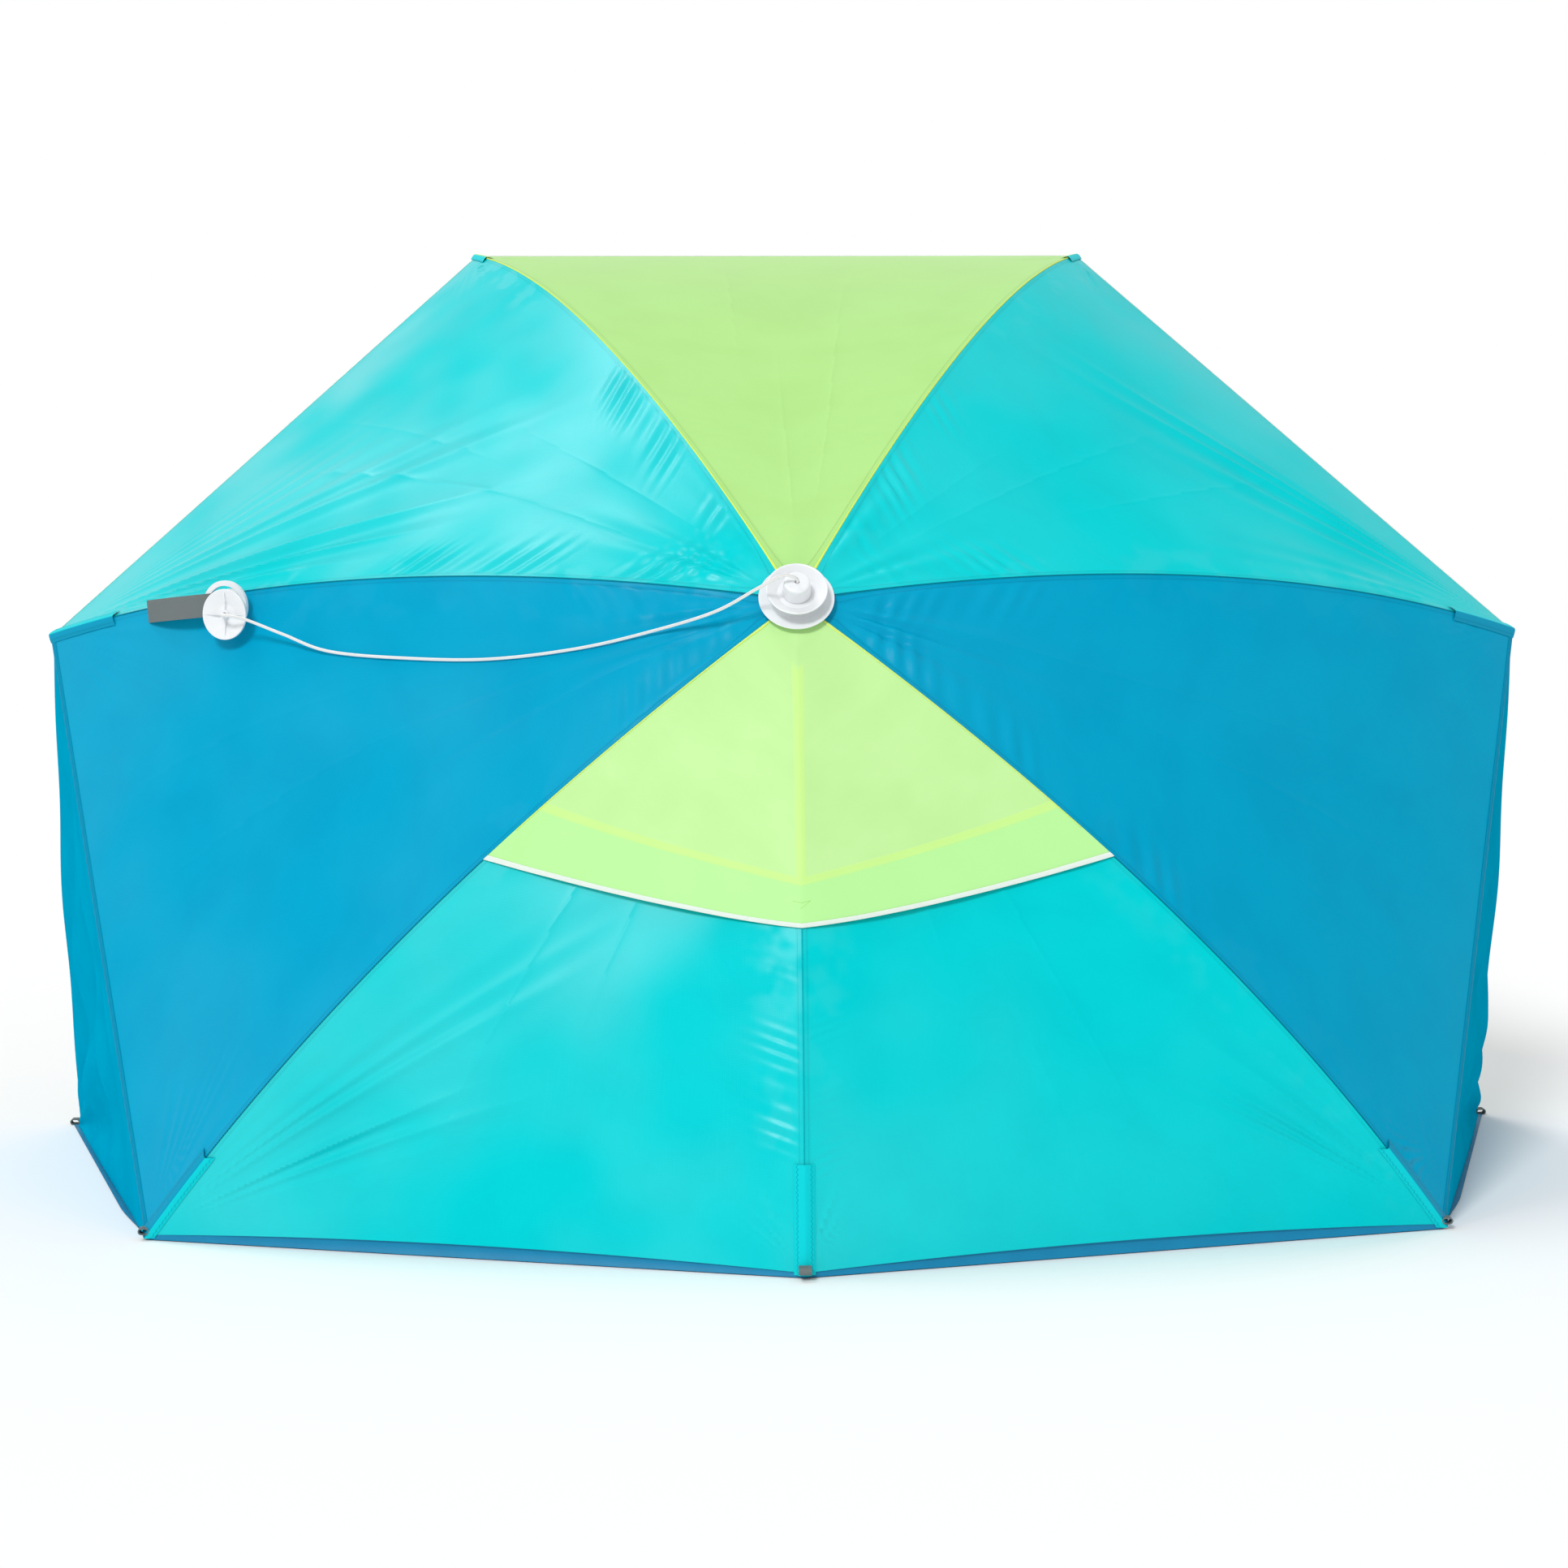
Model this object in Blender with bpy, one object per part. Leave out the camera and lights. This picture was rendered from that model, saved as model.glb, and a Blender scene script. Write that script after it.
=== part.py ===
"""Beach tent: half an umbrella on a slanted mast, with side wings and a ground sheet.

The canopy is a seven-ribbed umbrella, tilted back until its three rear ribs reach the ground.
The open front faces +Y. The origin is on the ground, midway between the two rear corner ribs.
Everything on the umbrella is first placed upright, with its hub at the origin and the mast
pointing down, and then tilted as one.
"""
import math

import bmesh
import bpy
from mathutils import Matrix, Vector

for old in list(bpy.data.objects):
    bpy.data.objects.remove(old, do_unlink=True)

# The umbrella: seven ribs whose tips lie on a circle, one hem chord apart
RIB_COUNT = 7
HEM_LENGTH = 0.90
TILT = math.radians(52.57)
STEP = 2 * math.pi / RIB_COUNT
REACH = HEM_LENGTH / (2 * math.sin(STEP / 2))
TIP_CLEARANCE = 0.008

# How far the ridge over each kind of rib droops from hub to tip, and how the droop grows:
# the first share goes with the square of the distance, the second with its fourth power
TOP_DROOP = 0.430
SIDE_DROOP = 0.404
REAR_DROOP = 0.445
TOP_BEND_SHARES = (0.73, 0.20)
SIDE_BEND_SHARES = (0.73, 0.11)
REAR_BEND_SHARES = (0.56, 0.21)
RIBS = (
    ("rear_centre", REAR_DROOP, REAR_BEND_SHARES),
    ("rear_right", REAR_DROOP, REAR_BEND_SHARES),
    ("side_right", SIDE_DROOP, SIDE_BEND_SHARES),
    ("top_right", TOP_DROOP, TOP_BEND_SHARES),
    ("top_left", TOP_DROOP, TOP_BEND_SHARES),
    ("side_left", SIDE_DROOP, SIDE_BEND_SHARES),
    ("rear_left", REAR_DROOP, REAR_BEND_SHARES),
)

# Clearances and small sizes that many pieces share
GAP = 0.0003
MERGE = 0.00001
OVERRUN = 0.002
ROUND_SIDES = 32
PIN_SIDES = 10

# Cloth: its thickness, the slits along the ribs and the panels' middles, and its slack
CLOTH = 0.0012
SEAM_GAP = 0.0007
MIDDLE_GAP = 0.0002
CLOTH_START = 0.030
TIP_INSET = 0.009
GORE_HOLLOW = 0.006
TOP_SCALLOP = 0.004
REAR_SCALLOP = 0.010
PANEL_ROWS = 12
PANEL_COLUMNS = 3

# Vent over the two rear gores: where its mesh ends and where the flap over it ends
MESH_RIB_SHARE = 0.3857
MESH_CENTRE_SHARE = 0.3519
FLAP_RIB_SHARE = 0.4754
FLAP_CENTRE_SHARE = 0.4058
FLAP_LIFT = 0.0022
FLAP_BILLOW = 0.010
VENT_ROWS = 8

# Ribs: rods below the ridges, with an eye on the crown's wire and a rivet for the stretcher
RIB_RADIUS = 0.0025
RIB_CLEARANCE = 0.0020
RIB_DROP = CLOTH + RIB_CLEARANCE + RIB_RADIUS
RIB_STATIONS = 12
ROOT_RADIUS = 0.0035
ROOT_NECK = 0.0105
TIP_RADIUS = 0.004
TIP_NECK = 0.010
BALL_SHARES = (0.97, 0.75, 0.0, -0.6)
BRACKET_DISTANCE = 0.425
BRACKET_RADIUS = 0.0030
BRACKET_LENGTH = 0.016
SWELL_SHARES = (-1.0, -0.5, 0.0, 0.5, 1.0)
RIVET_RADIUS = 0.0012
RIVET_HEAD_RADIUS = 0.0024
RIVET_HEAD = 0.001
RIVET_DROP = 0.0010

# Mast: an upper tube, a lower tube that slides in it, a clamp and a ground spike
MAST_RADIUS = 0.0125
MAST_WALL = 0.0012
MAST_TOP = 0.003
MAST_UPPER_DEPTH = 0.860
MAST_LOWER_RADIUS = MAST_RADIUS - MAST_WALL - GAP
MAST_OVERLAP = 0.240
SLEEVE_BORE = MAST_RADIUS + GAP
COLLAR_RADIUS = 0.0175
COLLAR_ABOVE = 0.020
COLLAR_BELOW = 0.040
COLLAR_BOSS_RADIUS = 0.0077
COLLAR_BOSS = 0.00275
KNOB_BELOW = 0.020
KNOB_SHANK_RADIUS = 0.002
KNOB_RADIUS = 0.011
KNOB_THICKNESS = 0.009
KNOB_LOBES = 6
KNOB_LOBE_DEPTH = 0.0014
SPIKE_LENGTH = 0.076
SPIKE_PLUG = 0.035
SPIKE_FLANGE_RADIUS = 0.014
SPIKE_FLANGE = 0.006
SPIKE_ROOT_RADIUS = 0.008
SPIKE_POINT_RADIUS = 0.0015

# Crown: the notched ring under the washer that holds the ribs' eyes on a wire
CROWN_RADIUS = 0.0235
CROWN_HEIGHT = 0.0175
WIRE_REACH = 0.0185
WIRE_RADIUS = 0.001
WIRE_PLAY = 0.0007
WIRE_DEPTH = 0.0080
SLOT_FLOOR = 0.0146
SLOT_HALF_WIDTH = 0.0039

# Washer, dish and knob over the cloth
WASHER_UNDER = 0.0005
WASHER_THICKNESS = 0.002
WASHER_FLAT_RADIUS = 0.030
WASHER_RADIUS = 0.0473
WASHER_RIM = 0.007
CAP_STEM_DEPTH = 0.028
CAP_FLANGE_RADIUS = 0.020
CAP_THROAT_RADIUS = 0.025
CAP_THROAT = 0.010
CAP_RADIUS = 0.0385
CAP_RIM = 0.026
CAP_RIM_WALL = 0.002
CAP_FLOOR_RADIUS = 0.024
CAP_FLOOR = 0.0175
HUB_KNOB_RADIUS = 0.018
HUB_KNOB_TOP_RADIUS = 0.0168
HUB_KNOB_HEIGHT = 0.0225
HUB_KNOB_ROUND = 0.003
CORD_HOLE_RADIUS = 0.0026
CORD_HOLE_DEPTH = 0.009

# Runner: the sleeve on the mast that the stretchers end on, with its push button
RUNNER_DEPTH = 0.178
RUNNER_TRAVEL = 0.612
RUNNER_RADIUS = 0.0165
RUNNER_ABOVE = 0.012
RUNNER_BELOW = 0.030
RUNNER_FLANGE = 0.0035
PIVOT_REACH = 0.022
EAR_REACH = 0.0262
EAR_HALF_HEIGHT = 0.0055
EAR_THICKNESS = 0.0032
BUTTON_BELOW = 0.0165
BUTTON_RADIUS = 0.0043
BUTTON_TRAVEL = 0.003
BUTTON_LENGTH = 0.0064
BOSS_RADIUS = 0.007
BOSS_REACH = 0.0215
SOCKET_FLOOR = 0.0160

# Stretchers: rods beside the ribs, from the runner up to the ribs' rivets
STRETCHER_RADIUS = 0.002
STRETCHER_EYE_RADIUS = 0.003
STRETCHER_ASIDE = BRACKET_RADIUS + STRETCHER_EYE_RADIUS + 2 * GAP
EAR_ASIDE = STRETCHER_ASIDE - STRETCHER_EYE_RADIUS - 2 * GAP

# Ground sheet, side wings and peg loops
SHEET = 0.002
CORNER_ACROSS = 1.0287
CORNER_FORWARD = 0.7965
CORNER_LIFT = SHEET + 2 * GAP
CORNER_SPREAD = 0.030
WING_SEAM = 0.0007
WING_TIP_SHARE = 0.022
WING_FOLDS = 3
WING_FOLD_DEPTH = 0.008
WING_SLIT = 0.0006
WING_ROWS = 8
WING_COLUMNS = 9
LOOP_LENGTH = 0.022
LOOP_WIDTH = 0.015
LOOP_HEIGHT = 0.0086
WEBBING = 0.0015
LOOP_END_STEPS = 6

# Line winder on the left side rib: a spool on a ring that hangs from a webbing strap
WINDER_ACROSS = 0.7359
WINDER_FORWARD = 0.2599
WINDER_HEIGHT = 0.7686
WINDER_TURN = math.radians(25.5)
SPOOL_RADIUS = 0.0355
SPOOL_RIM = 0.003
SPOOL_RIM_WALL = 0.0025
SPOOL_DRUM_RADIUS = 0.013
SPOOL_DRUM_BACK = 0.016
SPOOL_WEB = 0.003
SPOOL_WEB_FRONT = 0.001
SPOOL_NOSE_RADIUS = 0.006
SPOOL_BORE_RADIUS = 0.0048
SPOOL_BORE_FLOOR = 0.0065
SPOOL_CORD_FLOOR = 0.0035
SPOKE_THICKNESS = 0.0013
SPOKE_COUNT = 4
SPINDLE_RADIUS = SPOOL_BORE_RADIUS - GAP
RING_RADIUS = 0.0335
RING_BORE = 0.0265
RING_THICKNESS = 0.005
RING_ASIDE = 0.012
RING_RAISED = 0.010
BAR_HALF_WIDTH = 0.0075
STRAP_WIDTH = 0.030
STRAP_LENGTH = 0.118
STRAP_CURL = math.radians(36)
STRAP_STEPS = 6
STRAP_END_STEPS = 6

# Clothesline: its route from the hub knob's hole over the cloth to the winder, chosen by hand
LINE_RADIUS = 0.002
LINE_LEAD = 0.006
LINE_STEPS = 78
ROUTE_STEPS = 16
LINE_ROUTE = (
    (-0.0180, -0.0020, 0.8245),
    (-0.0500, -0.0010, 0.8080),
    (-0.1000, 0.0170, 0.7800),
    (-0.1708, 0.0370, 0.7570),
    (-0.2700, 0.0560, 0.7330),
    (-0.3850, 0.0850, 0.7182),
    (-0.4966, 0.1315, 0.7176),
    (-0.5950, 0.1840, 0.7238),
    (-0.6550, 0.2120, 0.7440),
    (-0.7009, 0.2288, 0.7610),
    (-0.7204, 0.2324, 0.7665),
    (-0.7333, 0.2376, 0.7680),
    (-0.7390, 0.2442, 0.7684),
)

REAR_ACROSS = REACH * math.cos(STEP)
HUB_HEIGHT = REAR_DROOP * math.cos(TILT) + REAR_ACROSS * math.sin(TILT) + TIP_CLEARANCE
HUB_FORWARD = REAR_ACROSS * math.cos(TILT) - REAR_DROOP * math.sin(TILT)
UMBRELLA = Matrix.Translation((0, HUB_FORWARD, HUB_HEIGHT)) @ Matrix.Rotation(TILT, 4, "X")

# The spike's blunt end is tilted with the mast, so its lower edge is what meets the ground
SPIKE_POINT_DEPTH = (HUB_HEIGHT - SPIKE_POINT_RADIUS * math.sin(TILT)) / math.cos(TILT)
MAST_LOWER_TOP_DEPTH = MAST_UPPER_DEPTH - MAST_OVERLAP
MAST_LOWER_DEPTH = SPIKE_POINT_DEPTH - SPIKE_LENGTH


def droop(index, share):
    """Depth of the ridge over a rib, at a share of the reach."""
    fall, (square_share, fourth_share) = RIBS[index][1:]
    straight_share = 1 - square_share - fourth_share
    return fall * (straight_share * share + square_share * share ** 2 + fourth_share * share ** 4)


def slope(index, share):
    """How steeply that ridge falls, in metres of depth for each metre outwards."""
    fall, (square_share, fourth_share) = RIBS[index][1:]
    straight_share = 1 - square_share - fourth_share
    return fall * (straight_share + 2 * square_share * share + 4 * fourth_share * share ** 3) / REACH


def ridge(index, share):
    """Point of the canopy's outer face over a rib, on the upright umbrella."""
    turn = index * STEP
    out = REACH * share
    return Vector((math.sin(turn) * out, -math.cos(turn) * out, -droop(index, share)))


def grounded_share(index):
    """Share of the reach at which a rib's ridge comes down to the tips' clearance."""
    low = 0.0
    high = 1.0
    for _ in range(40):
        middle = (low + high) / 2
        if (UMBRELLA @ ridge(index, middle)).z > TIP_CLEARANCE:
            low = middle
        else:
            high = middle
    return low


TIP_SHARES = [grounded_share(0)] + [1.0] * (RIB_COUNT - 1)


def rib_matrix(index):
    """Frame of a rib on the upright umbrella: X outwards, Y along the hem, Z up."""
    return Matrix.Rotation(index * STEP - math.pi / 2, 4, "Z")


def rib_line(index, share):
    """Centre of a rib's rod in the rib's own frame."""
    fall = slope(index, share)
    down = Vector((fall, 0, 1)).normalized() * RIB_DROP
    return Vector((REACH * share, 0, -droop(index, share))) - down


def bracket(index):
    """Where the stretcher's rivet crosses the rib, just below its centre, in the rib's own frame."""
    return rib_line(index, BRACKET_DISTANCE / REACH) - Vector((0, 0, RIVET_DROP))


# Materials: one for each object, with the colour, roughness and metallic value of its kind
LIME = (0.53, 0.87, 0.30)
AQUA = (0.0, 0.69, 0.74)
BLUE = (0.0, 0.44, 0.66)
DARK_BLUE = (0.0, 0.19, 0.36)
MESH_GREY = (0.62, 0.66, 0.64)
WEBBING_GREY = (0.52, 0.54, 0.56)
WHITE = (0.88, 0.89, 0.90)
STEEL = (0.60, 0.61, 0.62)
GLASS_FIBRE = (0.05, 0.05, 0.055)
CORD_WHITE = (0.86, 0.86, 0.84)
CLOTH_FINISH = (0.55, 0.0)
PLASTIC_FINISH = (0.35, 0.0)
METAL_FINISH = (0.30, 1.0)


def dress(thing, colour, finish):
    """Gives an object a material of its own."""
    material = bpy.data.materials.new(thing.name)
    material.use_nodes = True
    surface = material.node_tree.nodes["Principled BSDF"]
    surface.inputs["Base Color"].default_value = (*colour, 1)
    surface.inputs["Roughness"].default_value = finish[0]
    surface.inputs["Metallic"].default_value = finish[1]
    thing.data.materials.append(material)


# Placing: an empty stands on each joint's axis, and each piece hangs from the empty it turns with
PLACES = {}


def pivot(name, place, holder=None):
    """Adds an empty at a place in the world."""
    empty = bpy.data.objects.new("pivot_" + name, None)
    bpy.context.scene.collection.objects.link(empty)
    PLACES[empty] = place
    empty.parent = holder
    empty.matrix_basis = PLACES[holder].inverted() @ place if holder else place
    return empty


def hang(thing, frame, holder):
    """Hangs an object, whose shape was drawn in a frame, from an empty."""
    thing.data.transform(PLACES[holder].inverted() @ frame)
    thing.parent = holder
    return thing


GROUND = pivot("ground", Matrix.Identity(4))
MAST = pivot("mast", UMBRELLA)
RIB_PIVOTS = []
STRETCHER_PIVOTS = []
for number, (rib_name, *_) in enumerate(RIBS):
    rib_place = UMBRELLA @ rib_matrix(number)
    eye_place = rib_place @ Matrix.Translation((WIRE_REACH, 0, -WIRE_DEPTH))
    RIB_PIVOTS.append(pivot("rib_" + rib_name, eye_place))
    rivet_place = rib_place @ Matrix.Translation(bracket(number))
    STRETCHER_PIVOTS.append(pivot("stretcher_" + rib_name, rivet_place, RIB_PIVOTS[number]))


# Shapes


def add(name, mesh, colour, finish):
    """Adds an object with its own material."""
    thing = bpy.data.objects.new(name, mesh)
    bpy.context.scene.collection.objects.link(thing)
    dress(thing, colour, finish)
    return thing


def mesh_of(form):
    """Turns a bmesh into a mesh whose faces point out and whose round sides are smooth."""
    bmesh.ops.recalc_face_normals(form, faces=form.faces)
    mesh = bpy.data.meshes.new("shape")
    form.to_mesh(mesh)
    form.free()
    mesh.shade_smooth()
    mesh.set_sharp_from_angle(angle=math.radians(35))
    return mesh


def turned(outline, sides=ROUND_SIDES):
    """Turns an outline of (radius, height) points about Z; it is closed unless both ends are on the axis."""
    form = bmesh.new()
    points = [form.verts.new((radius, 0, height)) for radius, height in outline]
    edges = [form.edges.new(pair) for pair in zip(points, points[1:])]
    if outline[0][0] or outline[-1][0]:
        edges.append(form.edges.new((points[-1], points[0])))
    bmesh.ops.spin(form, geom=points + edges, axis=(0, 0, 1), cent=(0, 0, 0), angle=2 * math.pi,
                   steps=sides, use_merge=True)
    bmesh.ops.remove_doubles(form, verts=form.verts, dist=MERGE)
    return mesh_of(form)


def block(low, high):
    """A box between two corners."""
    form = bmesh.new()
    low = Vector(low)
    high = Vector(high)
    bmesh.ops.create_cube(form, size=1)
    bmesh.ops.scale(form, vec=high - low, verts=form.verts)
    bmesh.ops.translate(form, vec=(low + high) / 2, verts=form.verts)
    return mesh_of(form)


def prism(outline, low, high):
    """An outline of (x, z) points, extruded along Y."""
    form = bmesh.new()
    face = form.faces.new([form.verts.new((across, low, height)) for across, height in outline])
    grown = bmesh.ops.extrude_face_region(form, geom=[face])["geom"]
    moved = [item for item in grown if isinstance(item, bmesh.types.BMVert)]
    bmesh.ops.translate(form, vec=(0, high - low, 0), verts=moved)
    return mesh_of(form)


def rod(stations, resolution):
    """A tube through (point, radius) stations, with closed ends."""
    curve = bpy.data.curves.new("rod", "CURVE")
    curve.dimensions = "3D"
    curve.bevel_depth = 1
    curve.bevel_resolution = resolution
    curve.use_fill_caps = True
    spline = curve.splines.new("POLY")
    spline.points.add(len(stations) - 1)
    for spot, (point, radius) in zip(spline.points, stations):
        spot.co = (*point, 1)
        spot.radius = radius
    carrier = bpy.data.objects.new("rod", curve)
    mesh = bpy.data.meshes.new_from_object(carrier)
    bpy.data.objects.remove(carrier)
    bpy.data.curves.remove(curve)
    form = bmesh.new()
    form.from_mesh(mesh)
    bpy.data.meshes.remove(mesh)
    bmesh.ops.remove_doubles(form, verts=form.verts, dist=MERGE)
    return mesh_of(form)


def together(meshes):
    """Puts several meshes, each with its own matrix, into one."""
    form = bmesh.new()
    for mesh, matrix in meshes:
        mesh.transform(matrix)
        form.from_mesh(mesh)
        bpy.data.meshes.remove(mesh)
    return mesh_of(form)


def alter(thing, operation, mesh, frame, holder):
    """Adds a shape to an object, or cuts it out, by a Boolean modifier."""
    guide = bpy.data.objects.new(thing.name + "_" + operation.lower(), mesh)
    bpy.context.scene.collection.objects.link(guide)
    hang(guide, frame, holder)
    guide.hide_render = True
    guide.display_type = "WIRE"
    change = thing.modifiers.new(operation.title(), "BOOLEAN")
    change.operation = operation
    change.solver = "EXACT"
    change.object = guide


def sheet(rows, thickness):
    """A sheet through rows of points, as thick as told below its face; its rows run outwards."""
    form = bmesh.new()
    grid = [[form.verts.new(point) for point in row] for row in rows]
    for near, far in zip(grid, grid[1:]):
        for column in range(len(near) - 1):
            form.faces.new((near[column], far[column], far[column + 1], near[column + 1]))
    form.normal_update()
    tops = [(vert, vert.co - vert.normal * thickness) for vert in form.verts]
    under = {vert: form.verts.new(place) for vert, place in tops}
    for face in list(form.faces):
        form.faces.new([under[vert] for vert in reversed(face.verts)])
    rim = grid[0] + [row[-1] for row in grid[1:]] + grid[-1][-2::-1] + [row[0] for row in grid[-2:0:-1]]
    for start, end in zip(rim, rim[1:] + rim[:1]):
        form.faces.new((start, end, under[end], under[start]))
    return mesh_of(form)


def band(path, across, thickness, closed=False):
    """A flat ribbon along a path of points; across is its width as a vector."""
    form = bmesh.new()
    side = Vector(across) / 2
    count = len(path)
    rings = []
    for number, point in enumerate(path):
        before = path[(number - 1) % count] if closed or number else point
        after = path[(number + 1) % count] if closed or number < count - 1 else point
        face = (after - before).cross(side).normalized() * thickness / 2
        corners = (point - side - face, point + side - face, point + side + face, point - side + face)
        rings.append([form.verts.new(corner) for corner in corners])
    pairs = list(zip(rings, rings[1:]))
    if closed:
        pairs.append((rings[-1], rings[0]))
    else:
        form.faces.new(rings[0])
        form.faces.new(rings[-1])
    for ring, following in pairs:
        for corner in range(4):
            beside = (corner + 1) % 4
            form.faces.new((ring[corner], ring[beside], following[beside], following[corner]))
    return mesh_of(form)


# Canopy cloth


def gore(index, share, across):
    """Point of the outer face between a rib and the next one; across runs from 0 to 1 between them."""
    following = (index + 1) % RIB_COUNT
    starts = CLOTH_START / REACH
    ends = [TIP_SHARES[rib] - TIP_INSET / REACH for rib in (index, following)]
    near = ridge(index, starts + (ends[0] - starts) * share)
    far = ridge(following, starts + (ends[1] - starts) * share)
    hollow = GORE_HOLLOW * math.sin(math.pi * across) * math.sin(math.pi * share)
    return near.lerp(far, across) - Vector((0, 0, hollow))


def edge_share(index, seam_share, across):
    """Share along a gore, from the hub to the hem, at which a line across it lies."""
    following = (index + 1) % RIB_COUNT
    starts = CLOTH_START / REACH
    found = []
    for rib, target in zip((index, following), seam_share):
        end = TIP_SHARES[rib] - TIP_INSET / REACH
        found.append((target - starts) / (end - starts))
    return found[0] * (1 - across) + found[1] * across


def half_gore(index, low, high, start, end, rows, lift=None, scallop=0.0, joined=False):
    """Rows of points over part of a gore, between two lines across it; joined leaves no slit at a rib."""
    grid = []
    for row in range(rows + 1):
        line = []
        for column in range(PANEL_COLUMNS + 1):
            across = low + (high - low) * column / PANEL_COLUMNS
            first = start(across)
            share = first + (end(across) - first) * row / rows
            bow = scallop / REACH * 4 * across * (1 - across) * share ** 4
            span = HEM_LENGTH * max(share, CLOTH_START / REACH)
            pinch = 0.0 if joined else SEAM_GAP / span
            inside = min(max(across, pinch), 1 - pinch)
            if across == 0.5:
                inside += MIDDLE_GAP / span * (1 if low == 0.5 else -1)
            point = gore(index, share - bow, inside)
            if lift:
                point.z += lift(share, across)
            line.append(point)
        grid.append(line)
    return grid


def from_hub(across):
    return 0.0


def to_hem(across):
    return 1.0


PANELS = (
    ("rear_right_panel_inner", "rear_right_panel_outer", 0, AQUA),
    ("side_right_panel_lower", "side_right_panel_upper", 1, BLUE),
    ("shoulder_right_panel_lower", "shoulder_right_panel_upper", 2, AQUA),
    ("top_panel_right", "top_panel_left", 3, LIME),
    ("shoulder_left_panel_upper", "shoulder_left_panel_lower", 4, AQUA),
    ("side_left_panel_upper", "side_left_panel_lower", 5, BLUE),
    ("rear_left_panel_outer", "rear_left_panel_inner", 6, AQUA),
)
REAR_GORES = (0, 6)
TOP_GORE = 3


def mesh_shares(index):
    """The vent mesh's hem on the gore's two ribs, as shares of the reach."""
    return (MESH_CENTRE_SHARE, MESH_RIB_SHARE) if index == 0 else (MESH_RIB_SHARE, MESH_CENTRE_SHARE)


def flap_shares(index):
    """The vent flap's hem on the gore's two ribs, as shares of the reach."""
    return (FLAP_CENTRE_SHARE, FLAP_RIB_SHARE) if index == 0 else (FLAP_RIB_SHARE, FLAP_CENTRE_SHARE)


def add_panels():
    """Each gore is two halves that meet along its middle, so that each half folds with its own rib."""
    for first_name, second_name, index, colour in PANELS:
        start = from_hub
        scallop = TOP_SCALLOP if index == TOP_GORE else 0.0
        if index in REAR_GORES:
            scallop = REAR_SCALLOP

            def start(across, index=index):
                return edge_share(index, mesh_shares(index), across) + 2 * GAP / REACH

        halves = ((first_name, 0.0, 0.5, index), (second_name, 0.5, 1.0, (index + 1) % RIB_COUNT))
        for name, low, high, rib in halves:
            rows = half_gore(index, low, high, start, to_hem, PANEL_ROWS, scallop=scallop)
            panel = add(name, sheet(rows, CLOTH), colour, CLOTH_FINISH)
            hang(panel, UMBRELLA, RIB_PIVOTS[rib])


def flap_lift(share, across):
    """Height of the vent flap over the mesh: it lies close at the ribs and billows at its hem."""
    return FLAP_LIFT + FLAP_BILLOW * math.sin(math.pi * across) * share


def add_vent(name, shares, rib_lift, colour):
    """A vent layer over both rear gores, as a left, a centre and a right piece."""

    def part_gore(index, low, high, joined):
        def hem(across):
            return edge_share(index, shares(index), across)

        return half_gore(index, low, high, from_hub, hem, VENT_ROWS, rib_lift, joined=joined)

    left = part_gore(6, 0.0, 0.5, False)
    right = part_gore(0, 0.5, 1.0, False)
    centre = [near + far[1:] for near, far in zip(part_gore(6, 0.5, 1.0, True), part_gore(0, 0.0, 0.5, True))]
    for side, rows, rib in (("left", left, 6), ("centre", centre, 0), ("right", right, 1)):
        piece = add(name + "_" + side, sheet(rows, CLOTH), colour, CLOTH_FINISH)
        hang(piece, UMBRELLA, RIB_PIVOTS[rib])


# Frame


def rib_radius(share):
    """Radius of a rib's rod, swollen at the stretcher's rivet."""
    distance = abs(REACH * share - BRACKET_DISTANCE) / BRACKET_LENGTH
    swelling = max(0.0, 1 - distance ** 2)
    return RIB_RADIUS + (BRACKET_RADIUS - RIB_RADIUS) * swelling


def ball(centre, direction, radius, neck_radius, neck_first):
    """Stations of a ball at the end of a rod: (point, radius), running towards the rod or away from it."""
    stations = []
    for share in BALL_SHARES:
        stations.append((centre + direction * radius * share, radius * math.sqrt(1 - share ** 2)))
    stations.append((centre - direction * radius, neck_radius))
    return stations[::-1] if neck_first else stations


def add_ribs():
    for index, (name, *_) in enumerate(RIBS):
        root = Vector((WIRE_REACH, 0, -WIRE_DEPTH))
        first_share = (WIRE_REACH + ROOT_NECK) / REACH
        last_share = TIP_SHARES[index] - TIP_NECK / REACH
        bulb_share = TIP_SHARES[index] - TIP_RADIUS / REACH
        inwards = (root - rib_line(index, first_share)).normalized()
        stations = ball(root, inwards, ROOT_RADIUS, RIB_RADIUS, False)
        stride = (last_share - first_share) / RIB_STATIONS
        shares = [first_share + stride * step for step in range(RIB_STATIONS + 1)]
        swell = [(BRACKET_DISTANCE + BRACKET_LENGTH * part) / REACH for part in SWELL_SHARES]
        clear = (BRACKET_LENGTH + RIB_RADIUS) / REACH
        shares = [share for share in shares if abs(share - swell[2]) > clear] + swell
        stations += [(rib_line(index, share), rib_radius(share)) for share in sorted(shares)]
        tip = rib_line(index, bulb_share)
        outwards = (tip - rib_line(index, last_share)).normalized()
        stations += ball(tip, outwards, TIP_RADIUS, RIB_RADIUS, True)
        rib = add("rib_" + name, rod(stations, 2), GLASS_FIBRE, PLASTIC_FINISH)
        frame = UMBRELLA @ rib_matrix(index)
        hang(rib, frame, RIB_PIVOTS[index])
        alter(rib, "UNION", rivet(), PLACES[STRETCHER_PIVOTS[index]], RIB_PIVOTS[index])
        alter(rib, "DIFFERENCE", wire_hole(WIRE_PLAY), UMBRELLA, RIB_PIVOTS[index])


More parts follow.
